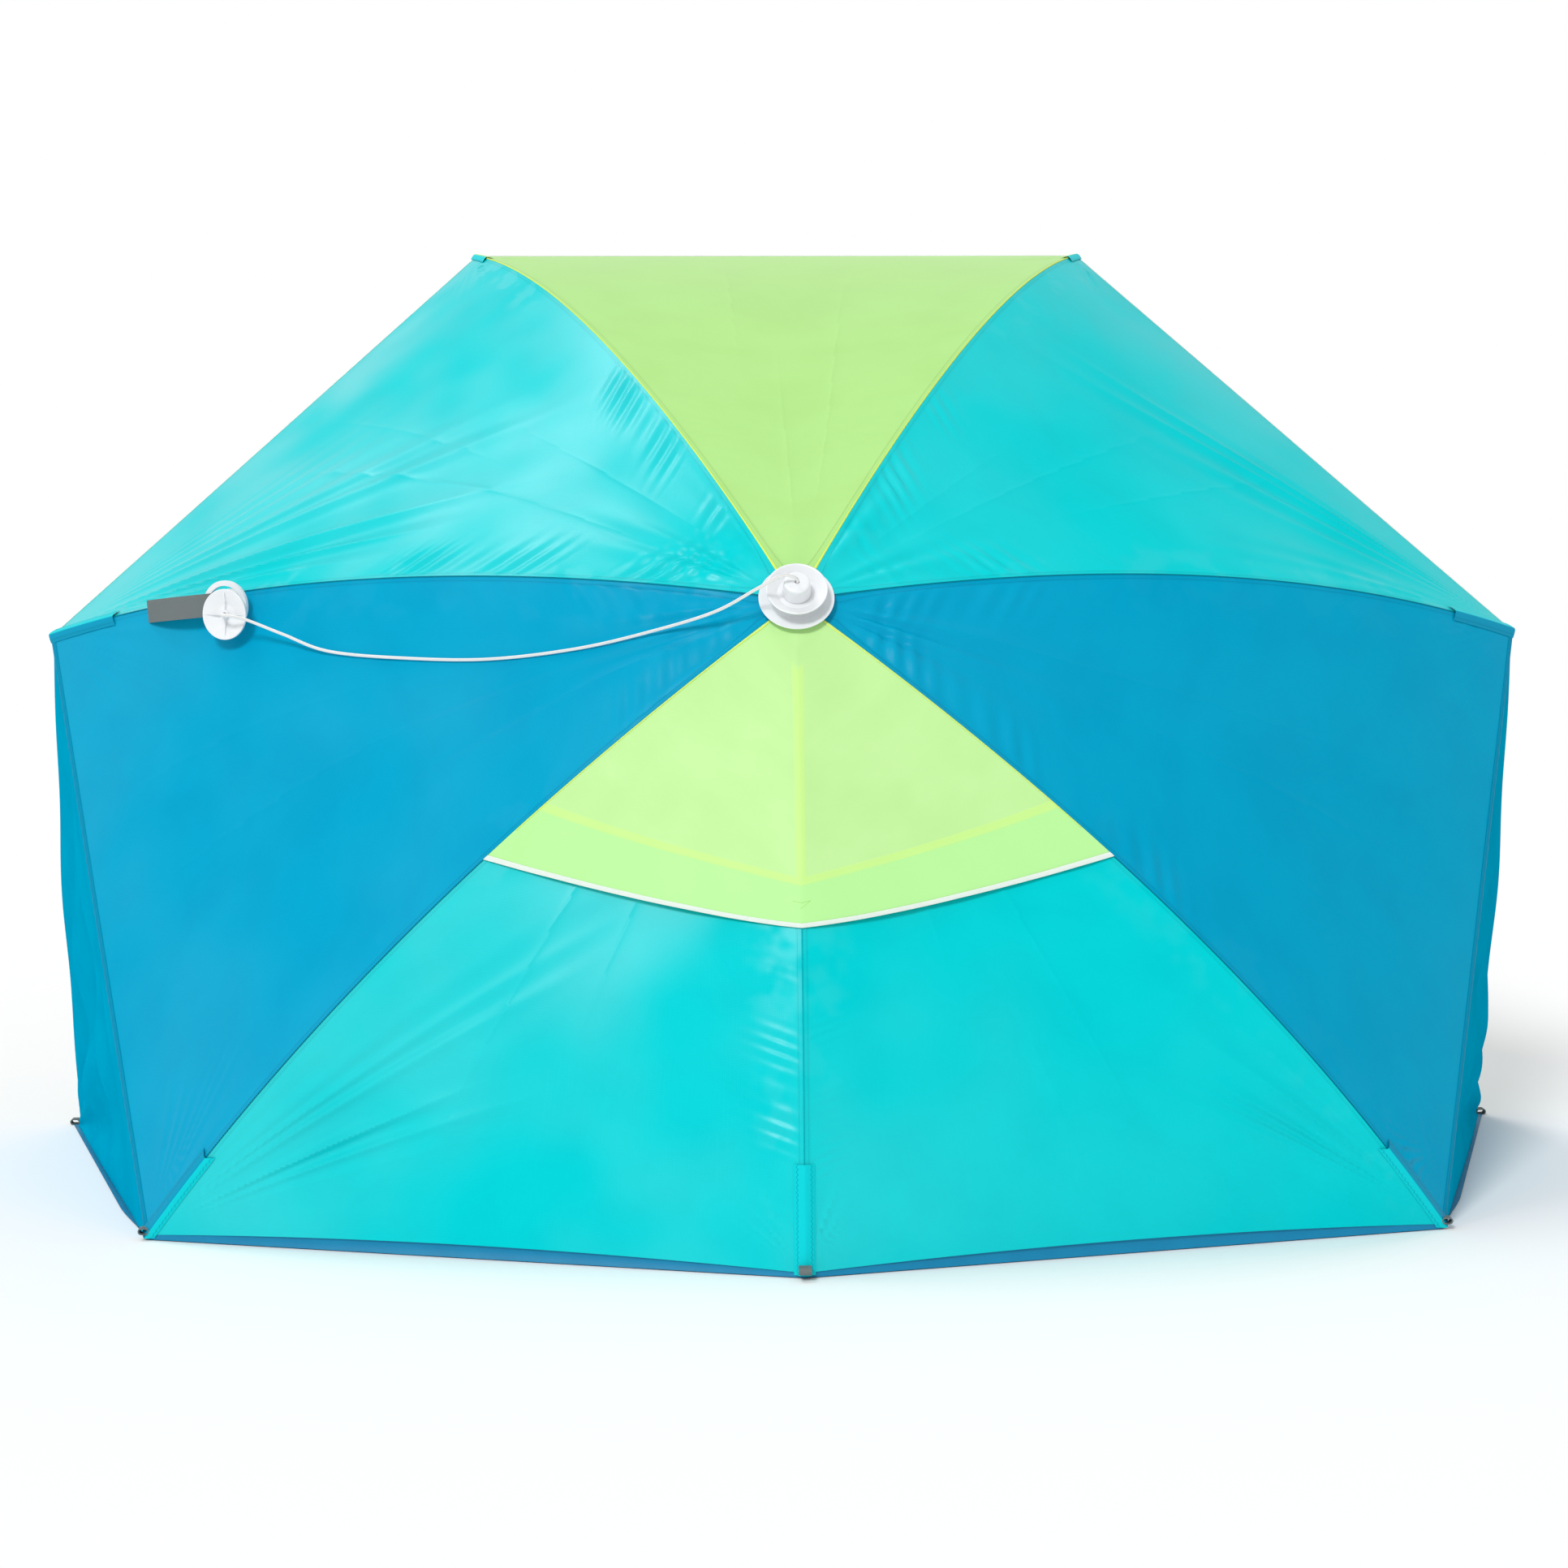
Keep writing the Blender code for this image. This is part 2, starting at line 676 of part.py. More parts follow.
def rivet():
    """Rivet on a rib: it stands out along the hem, through the stretcher's eye."""
    reach = STRETCHER_ASIDE + STRETCHER_EYE_RADIUS + GAP
    outline = ((0, 0), (RIVET_RADIUS, 0), (RIVET_RADIUS, reach), (RIVET_HEAD_RADIUS, reach),
               (RIVET_HEAD_RADIUS, reach + RIVET_HEAD), (0, reach + RIVET_HEAD))
    mesh = turned(outline, PIN_SIDES)
    mesh.transform(Matrix.Rotation(-math.pi / 2, 4, "X"))
    return mesh


def ring_of_wire(radius, sides):
    """The crown's wire as a closed ring of the given thickness."""
    outline = []
    for step in range(sides):
        turn = 2 * math.pi * step / sides
        outline.append((WIRE_REACH + radius * math.cos(turn), -WIRE_DEPTH + radius * math.sin(turn)))
    return turned(outline, 4 * RIB_COUNT)


def wire_hole(clearance):
    return ring_of_wire(WIRE_RADIUS + clearance, 8)


def add_stretchers():
    eye = STRETCHER_EYE_RADIUS
    for index, (name, *_) in enumerate(RIBS):
        upper = bracket(index) + Vector((0, STRETCHER_ASIDE, 0))
        lower = Vector((PIVOT_REACH, STRETCHER_ASIDE, -RUNNER_DEPTH))
        up = (upper - lower).normalized()
        stations = ball(lower, -up, eye, STRETCHER_RADIUS, False)
        stations += [(lower + up * 2 * eye, STRETCHER_RADIUS), (upper - up * 2 * eye, STRETCHER_RADIUS)]
        stations += ball(upper, up, eye, STRETCHER_RADIUS, True)
        stretcher = add("stretcher_" + name, rod(stations, 2), GLASS_FIBRE, PLASTIC_FINISH)
        hang(stretcher, UMBRELLA @ rib_matrix(index), STRETCHER_PIVOTS[index])
        hole = turned(((0, 0), (RIVET_RADIUS + GAP, 0), (RIVET_RADIUS + GAP, 3 * STRETCHER_ASIDE),
                       (0, 3 * STRETCHER_ASIDE)), PIN_SIDES)
        hole.transform(Matrix.Rotation(-math.pi / 2, 4, "X"))
        alter(stretcher, "DIFFERENCE", hole, PLACES[STRETCHER_PIVOTS[index]], STRETCHER_PIVOTS[index])


def tube(name, radius, bore, top, bottom, colour, finish, holder):
    """A plain tube along the mast, between two depths below the hub."""
    outline = ((radius, top), (radius, bottom), (bore, bottom), (bore, top))
    return hang(add(name, turned(outline), colour, finish), UMBRELLA, holder)


def add_mast():
    lower_mast = pivot("lower_mast", UMBRELLA @ Matrix.Translation((0, 0, -MAST_LOWER_TOP_DEPTH)))
    bore = MAST_RADIUS - MAST_WALL
    tube("mast_upper", MAST_RADIUS, bore, MAST_TOP, -MAST_UPPER_DEPTH, STEEL, METAL_FINISH, MAST)
    lower_bore = MAST_LOWER_RADIUS - MAST_WALL
    tube("mast_lower", MAST_LOWER_RADIUS, lower_bore, -MAST_LOWER_TOP_DEPTH, -MAST_LOWER_DEPTH, STEEL,
         METAL_FINISH, lower_mast)

    plug_radius = lower_bore - GAP
    plug_top = -MAST_LOWER_DEPTH + SPIKE_PLUG
    flange_top = -MAST_LOWER_DEPTH - GAP
    spike = turned(((0, plug_top), (plug_radius, plug_top), (plug_radius, flange_top),
                    (SPIKE_FLANGE_RADIUS, flange_top), (SPIKE_FLANGE_RADIUS, flange_top - SPIKE_FLANGE),
                    (SPIKE_ROOT_RADIUS, flange_top - 2 * SPIKE_FLANGE),
                    (SPIKE_POINT_RADIUS, -SPIKE_POINT_DEPTH), (0, -SPIKE_POINT_DEPTH)))
    hang(add("ground_spike", spike, WHITE, PLASTIC_FINISH), UMBRELLA, lower_mast)

    # The clamp's collar covers the upper tube's end, and its screw presses the lower tube
    lower_seat = MAST_LOWER_RADIUS + GAP
    step = -MAST_UPPER_DEPTH - GAP
    top = -MAST_UPPER_DEPTH + COLLAR_ABOVE
    bottom = -MAST_UPPER_DEPTH - COLLAR_BELOW
    collar = turned(((COLLAR_RADIUS, top), (COLLAR_RADIUS, bottom), (lower_seat, bottom),
                     (lower_seat, step), (SLEEVE_BORE, step), (SLEEVE_BORE, top)))
    collar = hang(add("clamp_collar", collar, WHITE, PLASTIC_FINISH), UMBRELLA, MAST)
    radial = UMBRELLA @ Matrix.Translation((0, 0, -MAST_UPPER_DEPTH - KNOB_BELOW))
    radial = radial @ Matrix.Rotation(-math.pi / 2, 4, "X")
    boss_top = COLLAR_RADIUS + COLLAR_BOSS
    boss_foot = lower_seat + MAST_WALL
    boss = turned(((0, boss_foot), (COLLAR_BOSS_RADIUS, boss_foot), (COLLAR_BOSS_RADIUS, boss_top),
                   (0, boss_top)))
    alter(collar, "UNION", boss, radial, MAST)
    screw_hole = KNOB_SHANK_RADIUS + GAP
    past_boss = boss_top + OVERRUN
    hole = turned(((0, 0), (screw_hole, 0), (screw_hole, past_boss), (0, past_boss)), PIN_SIDES)
    alter(collar, "DIFFERENCE", hole, radial, MAST)

    clamp = pivot("clamp_knob", radial, MAST)
    lobed = bmesh.new()
    rim = []
    corners = 6 * KNOB_LOBES
    for corner in range(corners):
        turn = 2 * math.pi * corner / corners
        radius = KNOB_RADIUS - KNOB_LOBE_DEPTH * (1 - math.cos(KNOB_LOBES * turn)) / 2
        rim.append(lobed.verts.new((radius * math.cos(turn), radius * math.sin(turn), boss_top + GAP)))
    face = lobed.faces.new(rim)
    grown = bmesh.ops.extrude_face_region(lobed, geom=[face])["geom"]
    moved = [item for item in grown if isinstance(item, bmesh.types.BMVert)]
    bmesh.ops.translate(lobed, vec=(0, 0, KNOB_THICKNESS), verts=moved)
    knob = hang(add("clamp_knob", mesh_of(lobed), WHITE, PLASTIC_FINISH), radial, clamp)
    shank_end = boss_top + KNOB_THICKNESS / 2
    shank = turned(((0, lower_seat), (KNOB_SHANK_RADIUS, lower_seat), (KNOB_SHANK_RADIUS, shank_end),
                    (0, shank_end)), PIN_SIDES)
    alter(knob, "UNION", shank, radial, clamp)


def add_hub():
    crown_top = WASHER_UNDER - GAP
    crown = turned(((CROWN_RADIUS, crown_top), (CROWN_RADIUS, crown_top - CROWN_HEIGHT),
                    (SLEEVE_BORE, crown_top - CROWN_HEIGHT), (SLEEVE_BORE, crown_top)), 4 * RIB_COUNT)
    crown = hang(add("crown", crown, WHITE, PLASTIC_FINISH), UMBRELLA, MAST)
    slots = []
    for index in range(RIB_COUNT):
        low = (SLOT_FLOOR, -SLOT_HALF_WIDTH, crown_top - CROWN_HEIGHT - OVERRUN)
        high = (CROWN_RADIUS + OVERRUN, SLOT_HALF_WIDTH, crown_top + OVERRUN)
        slots.append((block(low, high), rib_matrix(index)))
    alter(crown, "DIFFERENCE", together(slots), UMBRELLA, MAST)
    alter(crown, "DIFFERENCE", wire_hole(GAP), UMBRELLA, MAST)
    hang(add("crown_wire", ring_of_wire(WIRE_RADIUS, 6), STEEL, METAL_FINISH), UMBRELLA, MAST)

    washer_top = WASHER_UNDER + WASHER_THICKNESS
    washer = turned(((SLEEVE_BORE, WASHER_UNDER), (WASHER_FLAT_RADIUS, WASHER_UNDER),
                     (WASHER_RADIUS, WASHER_RIM - WASHER_THICKNESS), (WASHER_RADIUS, WASHER_RIM),
                     (WASHER_FLAT_RADIUS, washer_top), (SLEEVE_BORE, washer_top)))
    hang(add("hub_washer", washer, WHITE, PLASTIC_FINISH), UMBRELLA, MAST)

    stem_radius = MAST_RADIUS - MAST_WALL - GAP
    flange = MAST_TOP + GAP
    cap = turned(((0, -CAP_STEM_DEPTH), (stem_radius, -CAP_STEM_DEPTH), (stem_radius, flange),
                  (CAP_FLANGE_RADIUS, flange), (CAP_THROAT_RADIUS, CAP_THROAT),
                  (CAP_RADIUS, CAP_RIM - CAP_RIM_WALL), (CAP_RADIUS, CAP_RIM),
                  (CAP_RADIUS - CAP_RIM_WALL, CAP_RIM), (CAP_FLOOR_RADIUS, CAP_FLOOR), (0, CAP_FLOOR)))
    hang(add("hub_cap", cap, WHITE, PLASTIC_FINISH), UMBRELLA, MAST)

    knob_foot = CAP_FLOOR + GAP
    knob_top = knob_foot + HUB_KNOB_HEIGHT
    knob = turned(((0, knob_foot), (HUB_KNOB_RADIUS, knob_foot),
                   (HUB_KNOB_TOP_RADIUS, knob_top - HUB_KNOB_ROUND),
                   (HUB_KNOB_TOP_RADIUS - HUB_KNOB_ROUND / 4, knob_top - HUB_KNOB_ROUND / 3),
                   (HUB_KNOB_TOP_RADIUS - HUB_KNOB_ROUND, knob_top), (CORD_HOLE_RADIUS, knob_top),
                   (CORD_HOLE_RADIUS, knob_top - CORD_HOLE_DEPTH), (0, knob_top - CORD_HOLE_DEPTH)))
    hang(add("hub_knob", knob, WHITE, PLASTIC_FINISH), UMBRELLA, MAST)


def add_runner():
    place = UMBRELLA @ Matrix.Translation((0, 0, -RUNNER_DEPTH))
    slide = pivot("runner", place)
    flange_radius = PIVOT_REACH - STRETCHER_EYE_RADIUS - 2 * GAP
    runner = turned(((SLEEVE_BORE, RUNNER_ABOVE), (SLEEVE_BORE, -RUNNER_BELOW),
                     (flange_radius, -RUNNER_BELOW), (flange_radius, -RUNNER_BELOW + RUNNER_FLANGE),
                     (RUNNER_RADIUS, -RUNNER_BELOW + RUNNER_FLANGE), (RUNNER_RADIUS, RUNNER_ABOVE)))
    runner = hang(add("runner", runner, WHITE, PLASTIC_FINISH), place, slide)
    ears = []
    for index in range(RIB_COUNT):
        low = ((SLEEVE_BORE + RUNNER_RADIUS) / 2, EAR_ASIDE - EAR_THICKNESS, -EAR_HALF_HEIGHT)
        high = (EAR_REACH, EAR_ASIDE, EAR_HALF_HEIGHT)
        ears.append((block(low, high), rib_matrix(index)))
    alter(runner, "UNION", together(ears), place, slide)

    # The push button faces the top gore, midway between two stretchers, which pass on its sides
    aside_share = math.asin(STRETCHER_ASIDE / PIVOT_REACH) / STEP
    radial = place @ rib_matrix(TOP_GORE + 0.5 + aside_share) @ Matrix.Translation((0, 0, -BUTTON_BELOW))
    radial = radial @ Matrix.Rotation(math.pi / 2, 4, "Y")
    inside = (SLEEVE_BORE + RUNNER_RADIUS) / 2
    boss = turned(((0, inside), (BOSS_RADIUS, inside), (BOSS_RADIUS, BOSS_REACH), (0, BOSS_REACH)))
    alter(runner, "UNION", boss, radial, slide)
    socket_radius = BUTTON_RADIUS + GAP
    socket = turned(((0, SOCKET_FLOOR), (socket_radius, SOCKET_FLOOR), (socket_radius, EAR_REACH),
                     (0, EAR_REACH)))
    alter(runner, "DIFFERENCE", socket, radial, slide)
    foot = SOCKET_FLOOR + BUTTON_TRAVEL + GAP
    button = turned(((0, foot), (BUTTON_RADIUS, foot), (BUTTON_RADIUS, foot + BUTTON_LENGTH),
                     (BUTTON_RADIUS - BUTTON_TRAVEL / 4, foot + BUTTON_LENGTH + BUTTON_TRAVEL / 4),
                     (0, foot + BUTTON_LENGTH + BUTTON_TRAVEL / 4)))
    push = pivot("runner_button", radial, slide)
    hang(add("runner_button", button, WHITE, PLASTIC_FINISH), radial, push)


# On the ground


def hem_point(index, share, beyond):
    """Point just beyond a side gore's hem, from its side rib (share 0) to its rear rib (share 1)."""
    across = share if RIBS[index][0] == "side_left" else 1 - share
    hem = gore(index, 1.0, across)
    inside = gore(index, 1.0 - beyond / REACH, across)
    return UMBRELLA @ (hem + (hem - inside))


def add_wing(side, index, hand, ribs):
    """A side wing, from a side gore's hem down to its ground corner, in an upper and a lower half."""
    corner = Vector((hand * CORNER_ACROSS, CORNER_FORWARD, CORNER_LIFT))
    spread = Vector((0, CORNER_SPREAD, 0))
    top = hem_point(index, 0.0, WING_SEAM)
    foot = hem_point(index, 1.0, WING_SEAM)
    face = (foot - top).cross(corner - top).normalized()
    if face.x * hand < 0:
        face = -face
    outwards = []
    for row in range(WING_ROWS + 1):
        down = row / WING_ROWS
        line = []
        for column in range(2 * WING_COLUMNS + 1):
            share = WING_TIP_SHARE + (1 - 2 * WING_TIP_SHARE) * column / (2 * WING_COLUMNS)
            hem = hem_point(index, share, WING_SEAM)
            low = corner - spread * share
            fold = math.cos(2 * math.pi * WING_FOLDS * share) * math.sin(math.pi * down)
            line.append(hem.lerp(low, down) + face * fold * WING_FOLD_DEPTH)
        outwards.append(line)
    middle = WING_COLUMNS
    slit = (top - foot).normalized() * WING_SLIT
    upper = [[*line[:middle], line[middle] + slit] for line in outwards]
    lower = [[line[middle] - slit, *line[middle + 1:]] for line in outwards]
    for name, rows, rib in (("upper", upper, ribs[0]), ("lower", lower, ribs[1])):
        if hand < 0:
            rows = [line[::-1] for line in rows]
        wing = add("wing_" + side + "_" + name, sheet(rows, CLOTH), BLUE, CLOTH_FINISH)
        tip = rib_line(rib, TIP_SHARES[rib] - TIP_RADIUS / REACH)
        place = UMBRELLA @ rib_matrix(rib) @ Matrix.Translation(tip)
        hang(wing, Matrix.Identity(4), pivot("wing_" + side + "_" + name, place, RIB_PIVOTS[rib]))


def peg_loop(outwards, across):
    """A webbing loop that reaches outwards from the origin, lying flat, open along its width."""
    outwards = Vector(outwards)
    radius = (LOOP_HEIGHT - WEBBING) / 2
    bend = radius + WEBBING / 2
    path = []
    for end, first in ((LOOP_LENGTH - bend, -math.pi / 2), (bend, math.pi / 2)):
        for step in range(LOOP_END_STEPS + 1):
            turn = first + math.pi * step / LOOP_END_STEPS
            along = end + radius * math.cos(turn)
            path.append(outwards * along + Vector((0, 0, radius * math.sin(turn))))
    return band(path, Vector(across) * LOOP_WIDTH, WEBBING, True)


def add_ground():
    corners = [UMBRELLA @ ridge(index, TIP_SHARES[index]) for index in (6, 0, 1)]
    outline = [Vector((point.x, point.y, 0)) for point in corners]
    outline += [Vector((CORNER_ACROSS, CORNER_FORWARD, 0)), Vector((-CORNER_ACROSS, CORNER_FORWARD, 0))]
    form = bmesh.new()
    face = form.faces.new([form.verts.new(point) for point in outline])
    grown = bmesh.ops.extrude_face_region(form, geom=[face])["geom"]
    moved = [item for item in grown if isinstance(item, bmesh.types.BMVert)]
    bmesh.ops.translate(form, vec=(0, 0, SHEET), verts=moved)
    hang(add("ground_sheet", mesh_of(form), DARK_BLUE, CLOTH_FINISH), Matrix.Identity(4), GROUND)

    for name, hand in (("peg_loop_front_left", -1), ("peg_loop_front_right", 1)):
        seat = (hand * (CORNER_ACROSS + CLOTH + GAP), CORNER_FORWARD - LOOP_WIDTH / 2, LOOP_HEIGHT / 2)
        loop = add(name, peg_loop((hand, 0, 0), (0, 1, 0)), WEBBING_GREY, CLOTH_FINISH)
        hang(loop, Matrix.Translation(seat), GROUND)
    rear_loops = (
        ("peg_loop_rear_left", 6, (-1, 0, 0), (0, 1, 0)),
        ("peg_loop_rear_centre", 0, (0, -1, 0), (1, 0, 0)),
        ("peg_loop_rear_right", 1, (1, 0, 0), (0, 1, 0)),
    )
    for name, rib, outwards, across in rear_loops:
        tip = rib_line(rib, TIP_SHARES[rib] - TIP_RADIUS / REACH)
        tip = UMBRELLA @ rib_matrix(rib) @ tip
        seat = tip + Vector(outwards) * (TIP_RADIUS + GAP)
        loop = add(name, peg_loop(outwards, across), WEBBING_GREY, CLOTH_FINISH)
        hang(loop, Matrix.Translation(seat), RIB_PIVOTS[rib])


# Line winder and clothesline

SIDE_LEFT = 5
WINDER = Matrix.Translation((-WINDER_ACROSS, WINDER_FORWARD, WINDER_HEIGHT))
WINDER = WINDER @ Matrix.Rotation(-WINDER_TURN, 4, "Z") @ Matrix.Rotation(math.pi / 2, 4, "X")
PLATE_FRONT = -SPOOL_DRUM_BACK - GAP


def add_winder():
    holder = RIB_PIVOTS[SIDE_LEFT]
    spin = pivot("winder_spool", WINDER, holder)
    spool = turned(((0, -SPOOL_BORE_FLOOR), (SPOOL_BORE_RADIUS, -SPOOL_BORE_FLOOR),
                    (SPOOL_BORE_RADIUS, -SPOOL_DRUM_BACK), (SPOOL_DRUM_RADIUS, -SPOOL_DRUM_BACK),
                    (SPOOL_DRUM_RADIUS, -SPOOL_WEB_FRONT - SPOOL_WEB),
                    (SPOOL_RADIUS, SPOOL_RIM - SPOOL_RIM_WALL), (SPOOL_RADIUS, SPOOL_RIM),
                    (SPOOL_DRUM_RADIUS, -SPOOL_WEB_FRONT),
                    (SPOOL_NOSE_RADIUS, SPOOL_WEB_FRONT), (CORD_HOLE_RADIUS, SPOOL_WEB_FRONT),
                    (CORD_HOLE_RADIUS, -SPOOL_CORD_FLOOR), (0, -SPOOL_CORD_FLOOR)))
    spool = hang(add("winder_spool", spool, WHITE, PLASTIC_FINISH), WINDER, spin)
    spokes = []
    spoke_end = SPOOL_RADIUS - SPOOL_RIM_WALL / 2
    face_low = -SPOOL_WEB_FRONT - SPOOL_WEB / 2
    outline = ((SPOOL_NOSE_RADIUS - OVERRUN / 2, -SPOOL_WEB_FRONT), (SPOOL_DRUM_RADIUS, face_low),
               (spoke_end, SPOOL_RIM - SPOOL_RIM_WALL / 2), (spoke_end, SPOOL_RIM - GAP),
               (SPOOL_NOSE_RADIUS - OVERRUN / 2, SPOOL_RIM - GAP))
    for number in range(SPOKE_COUNT):
        turn = 2 * math.pi * (number + 0.5) / SPOKE_COUNT
        spoke = prism(outline, -SPOKE_THICKNESS / 2, SPOKE_THICKNESS / 2)
        spokes.append((spoke, Matrix.Rotation(turn, 4, "Z")))
    alter(spool, "UNION", together(spokes), WINDER, spin)

    ring_back = PLATE_FRONT - RING_THICKNESS
    ring = turned(((RING_BORE, PLATE_FRONT), (RING_RADIUS, PLATE_FRONT), (RING_RADIUS, ring_back),
                   (RING_BORE, ring_back)))
    ring.transform(Matrix.Translation((-RING_ASIDE, RING_RAISED, 0)))
    hook = hang(add("winder_hook", ring, WHITE, PLASTIC_FINISH), WINDER, holder)
    band_middle = (RING_BORE + RING_RADIUS) / 2
    reach = math.sqrt(band_middle ** 2 - (RING_ASIDE + BAR_HALF_WIDTH) ** 2)
    bar = block((-BAR_HALF_WIDTH, RING_RAISED - reach, ring_back + GAP),
                (BAR_HALF_WIDTH, RING_RAISED + reach, PLATE_FRONT - GAP))
    alter(hook, "UNION", bar, WINDER, holder)
    spindle = turned(((0, ring_back + GAP * 2), (SPINDLE_RADIUS, ring_back + GAP * 2),
                      (SPINDLE_RADIUS, -SPOOL_BORE_FLOOR - GAP), (0, -SPOOL_BORE_FLOOR - GAP)), 24)
    alter(hook, "UNION", spindle, WINDER, holder)

    # The strap doubles round the ring's left side and curls back to the rib's seam
    middle = WINDER @ Vector((-RING_ASIDE - band_middle, RING_RAISED, (PLATE_FRONT + ring_back) / 2))
    bend = RING_THICKNESS / 2 + 2 * GAP + WEBBING / 2
    seam = WEBBING / 2 + GAP
    sagitta = RING_BORE - math.sqrt(RING_BORE ** 2 - STRAP_WIDTH ** 2 / 4)
    turn_back = -((RING_RADIUS - RING_BORE) / 2 + sagitta + GAP)
    radius = STRAP_LENGTH / STRAP_CURL
    away = Matrix.Rotation(-WINDER_TURN, 3, "Z") @ Vector((-1, 0, 0))
    face = Matrix.Rotation(-WINDER_TURN, 3, "Z") @ Vector((0, 1, 0))
    past_ring = away * ((RING_RADIUS - RING_BORE) / 2 + GAP)
    upper = []
    lower = []
    for step in range(STRAP_STEPS, -1, -1):
        turn = STRAP_CURL * step / STRAP_STEPS
        centre = past_ring + (away * math.sin(turn) + face * (1 - math.cos(turn))) * radius
        outside = face * math.cos(turn) - away * math.sin(turn)
        half = bend + (seam - bend) * step / STRAP_STEPS
        upper.append(centre - outside * half)
        lower.append(centre + outside * half)
    end = []
    for step in range(STRAP_END_STEPS + 1):
        turn = math.pi * step / STRAP_END_STEPS
        end.append(away * (turn_back - bend * math.sin(turn)) - face * bend * math.cos(turn))
    path = upper + end + lower[::-1]
    strap = band(path, (0, 0, STRAP_WIDTH), WEBBING)
    hang(add("winder_strap", strap, WEBBING_GREY, CLOTH_FINISH), Matrix.Translation(middle), holder)


def smooth_route(points, count):
    """Points at even steps along a smooth curve through the given ones."""
    places = [Vector(point) for point in points]
    places = [2 * places[0] - places[1], *places, 2 * places[-1] - places[-2]]
    fine = []
    for before, start, end, after in zip(places, places[1:], places[2:], places[3:]):
        for step in range(ROUTE_STEPS):
            part = step / ROUTE_STEPS
            curve = (2 * start + (end - before) * part
                     + (2 * before - 5 * start + 4 * end - after) * part ** 2
                     + (3 * start - before - 3 * end + after) * part ** 3)
            fine.append(curve / 2)
    fine.append(places[-2])
    lengths = [0.0]
    for start, end in zip(fine, fine[1:]):
        lengths.append(lengths[-1] + (end - start).length)
    even = []
    for number in range(count):
        target = lengths[-1] * number / (count - 1)
        spot = max(index for index, length in enumerate(lengths) if length <= target + MERGE)
        spot = min(spot, len(fine) - 2)
        part = (target - lengths[spot]) / (lengths[spot + 1] - lengths[spot])
        even.append(fine[spot].lerp(fine[spot + 1], part))
    print("clothesline length %.4f m" % lengths[-1])
    return even


def add_clothesline():
    knob_top = CAP_FLOOR + GAP + HUB_KNOB_HEIGHT
    hole_floor = knob_top - CORD_HOLE_DEPTH + GAP
    start_heights = (hole_floor, (hole_floor + knob_top) / 2, knob_top, knob_top + LINE_LEAD)
    start = [UMBRELLA @ Vector((0, 0, height)) for height in start_heights]
    end_floor = -SPOOL_CORD_FLOOR + GAP
    end_heights = (SPOOL_RIM + LINE_LEAD, SPOOL_RIM, (SPOOL_RIM + end_floor) / 2, end_floor)
    end = [WINDER @ Vector((0, 0, height)) for height in end_heights]
    curve = bpy.data.curves.new("clothesline", "CURVE")
    curve.dimensions = "3D"
    curve.bevel_depth = LINE_RADIUS
    curve.bevel_resolution = 2
    curve.use_fill_caps = True
    points = smooth_route([*start, *LINE_ROUTE, *end], LINE_STEPS)
    spline = curve.splines.new("POLY")
    spline.points.add(len(points) - 1)
    for spot, point in zip(spline.points, points):
        spot.co = (*point, 1)
    line = bpy.data.objects.new("clothesline", curve)
    bpy.context.scene.collection.objects.link(line)
    dress(line, CORD_WHITE, CLOTH_FINISH)
    line.parent = GROUND


add_panels()
add_vent("vent_mesh", mesh_shares, None, MESH_GREY)
add_vent("vent_flap", flap_shares, flap_lift, LIME)
add_ribs()
add_stretchers()
add_mast()
add_hub()
add_runner()
add_wing("left", 5, -1, (5, 6))
add_wing("right", 1, 1, (2, 1))
add_ground()
add_winder()
add_clothesline()
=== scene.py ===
"""Beach tent: the looks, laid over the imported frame.

The file follows the tent as it is put together: the view and the clothesline first, then the
canopy's cloth, the vent, seams and pockets, the wings and floor, the frame, hub and line winder.
"""
import math

import bmesh
import bpy
import numpy as np
from mathutils import Matrix, Vector


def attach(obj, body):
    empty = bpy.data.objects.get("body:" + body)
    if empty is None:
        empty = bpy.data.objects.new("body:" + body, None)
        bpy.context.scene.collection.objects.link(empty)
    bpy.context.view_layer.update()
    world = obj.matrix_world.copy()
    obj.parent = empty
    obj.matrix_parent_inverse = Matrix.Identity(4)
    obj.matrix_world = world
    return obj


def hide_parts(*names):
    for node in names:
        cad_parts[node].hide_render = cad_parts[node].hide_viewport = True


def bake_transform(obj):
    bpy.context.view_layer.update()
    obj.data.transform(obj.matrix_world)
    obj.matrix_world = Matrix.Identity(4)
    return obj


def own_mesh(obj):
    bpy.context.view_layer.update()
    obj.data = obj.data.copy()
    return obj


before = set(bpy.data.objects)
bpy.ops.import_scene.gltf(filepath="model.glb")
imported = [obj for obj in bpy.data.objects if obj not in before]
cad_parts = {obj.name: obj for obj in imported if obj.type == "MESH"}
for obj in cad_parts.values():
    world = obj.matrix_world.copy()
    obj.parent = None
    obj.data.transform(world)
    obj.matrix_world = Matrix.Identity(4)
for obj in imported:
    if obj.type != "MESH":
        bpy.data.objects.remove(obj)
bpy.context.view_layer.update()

# View: a long lens from behind the tent, a little below its top, as in the photograph. Its place is
# fitted to the ribs' tips, the front corners and the hub.
PHOTO_PIXELS = 1932
FOCAL_PIXELS = 4301
SENSOR_MM = 36
VIEW_FROM = (-0.1341, -4.3002, 0.9499)
VIEW_PITCH = math.radians(-5.09)
VIEW_YAW = math.radians(1.56)
VIEW_ROLL = math.radians(-0.14)


def added(name, data):
    """A new object in the scene."""
    thing = bpy.data.objects.new(name, data)
    bpy.context.scene.collection.objects.link(thing)
    return thing


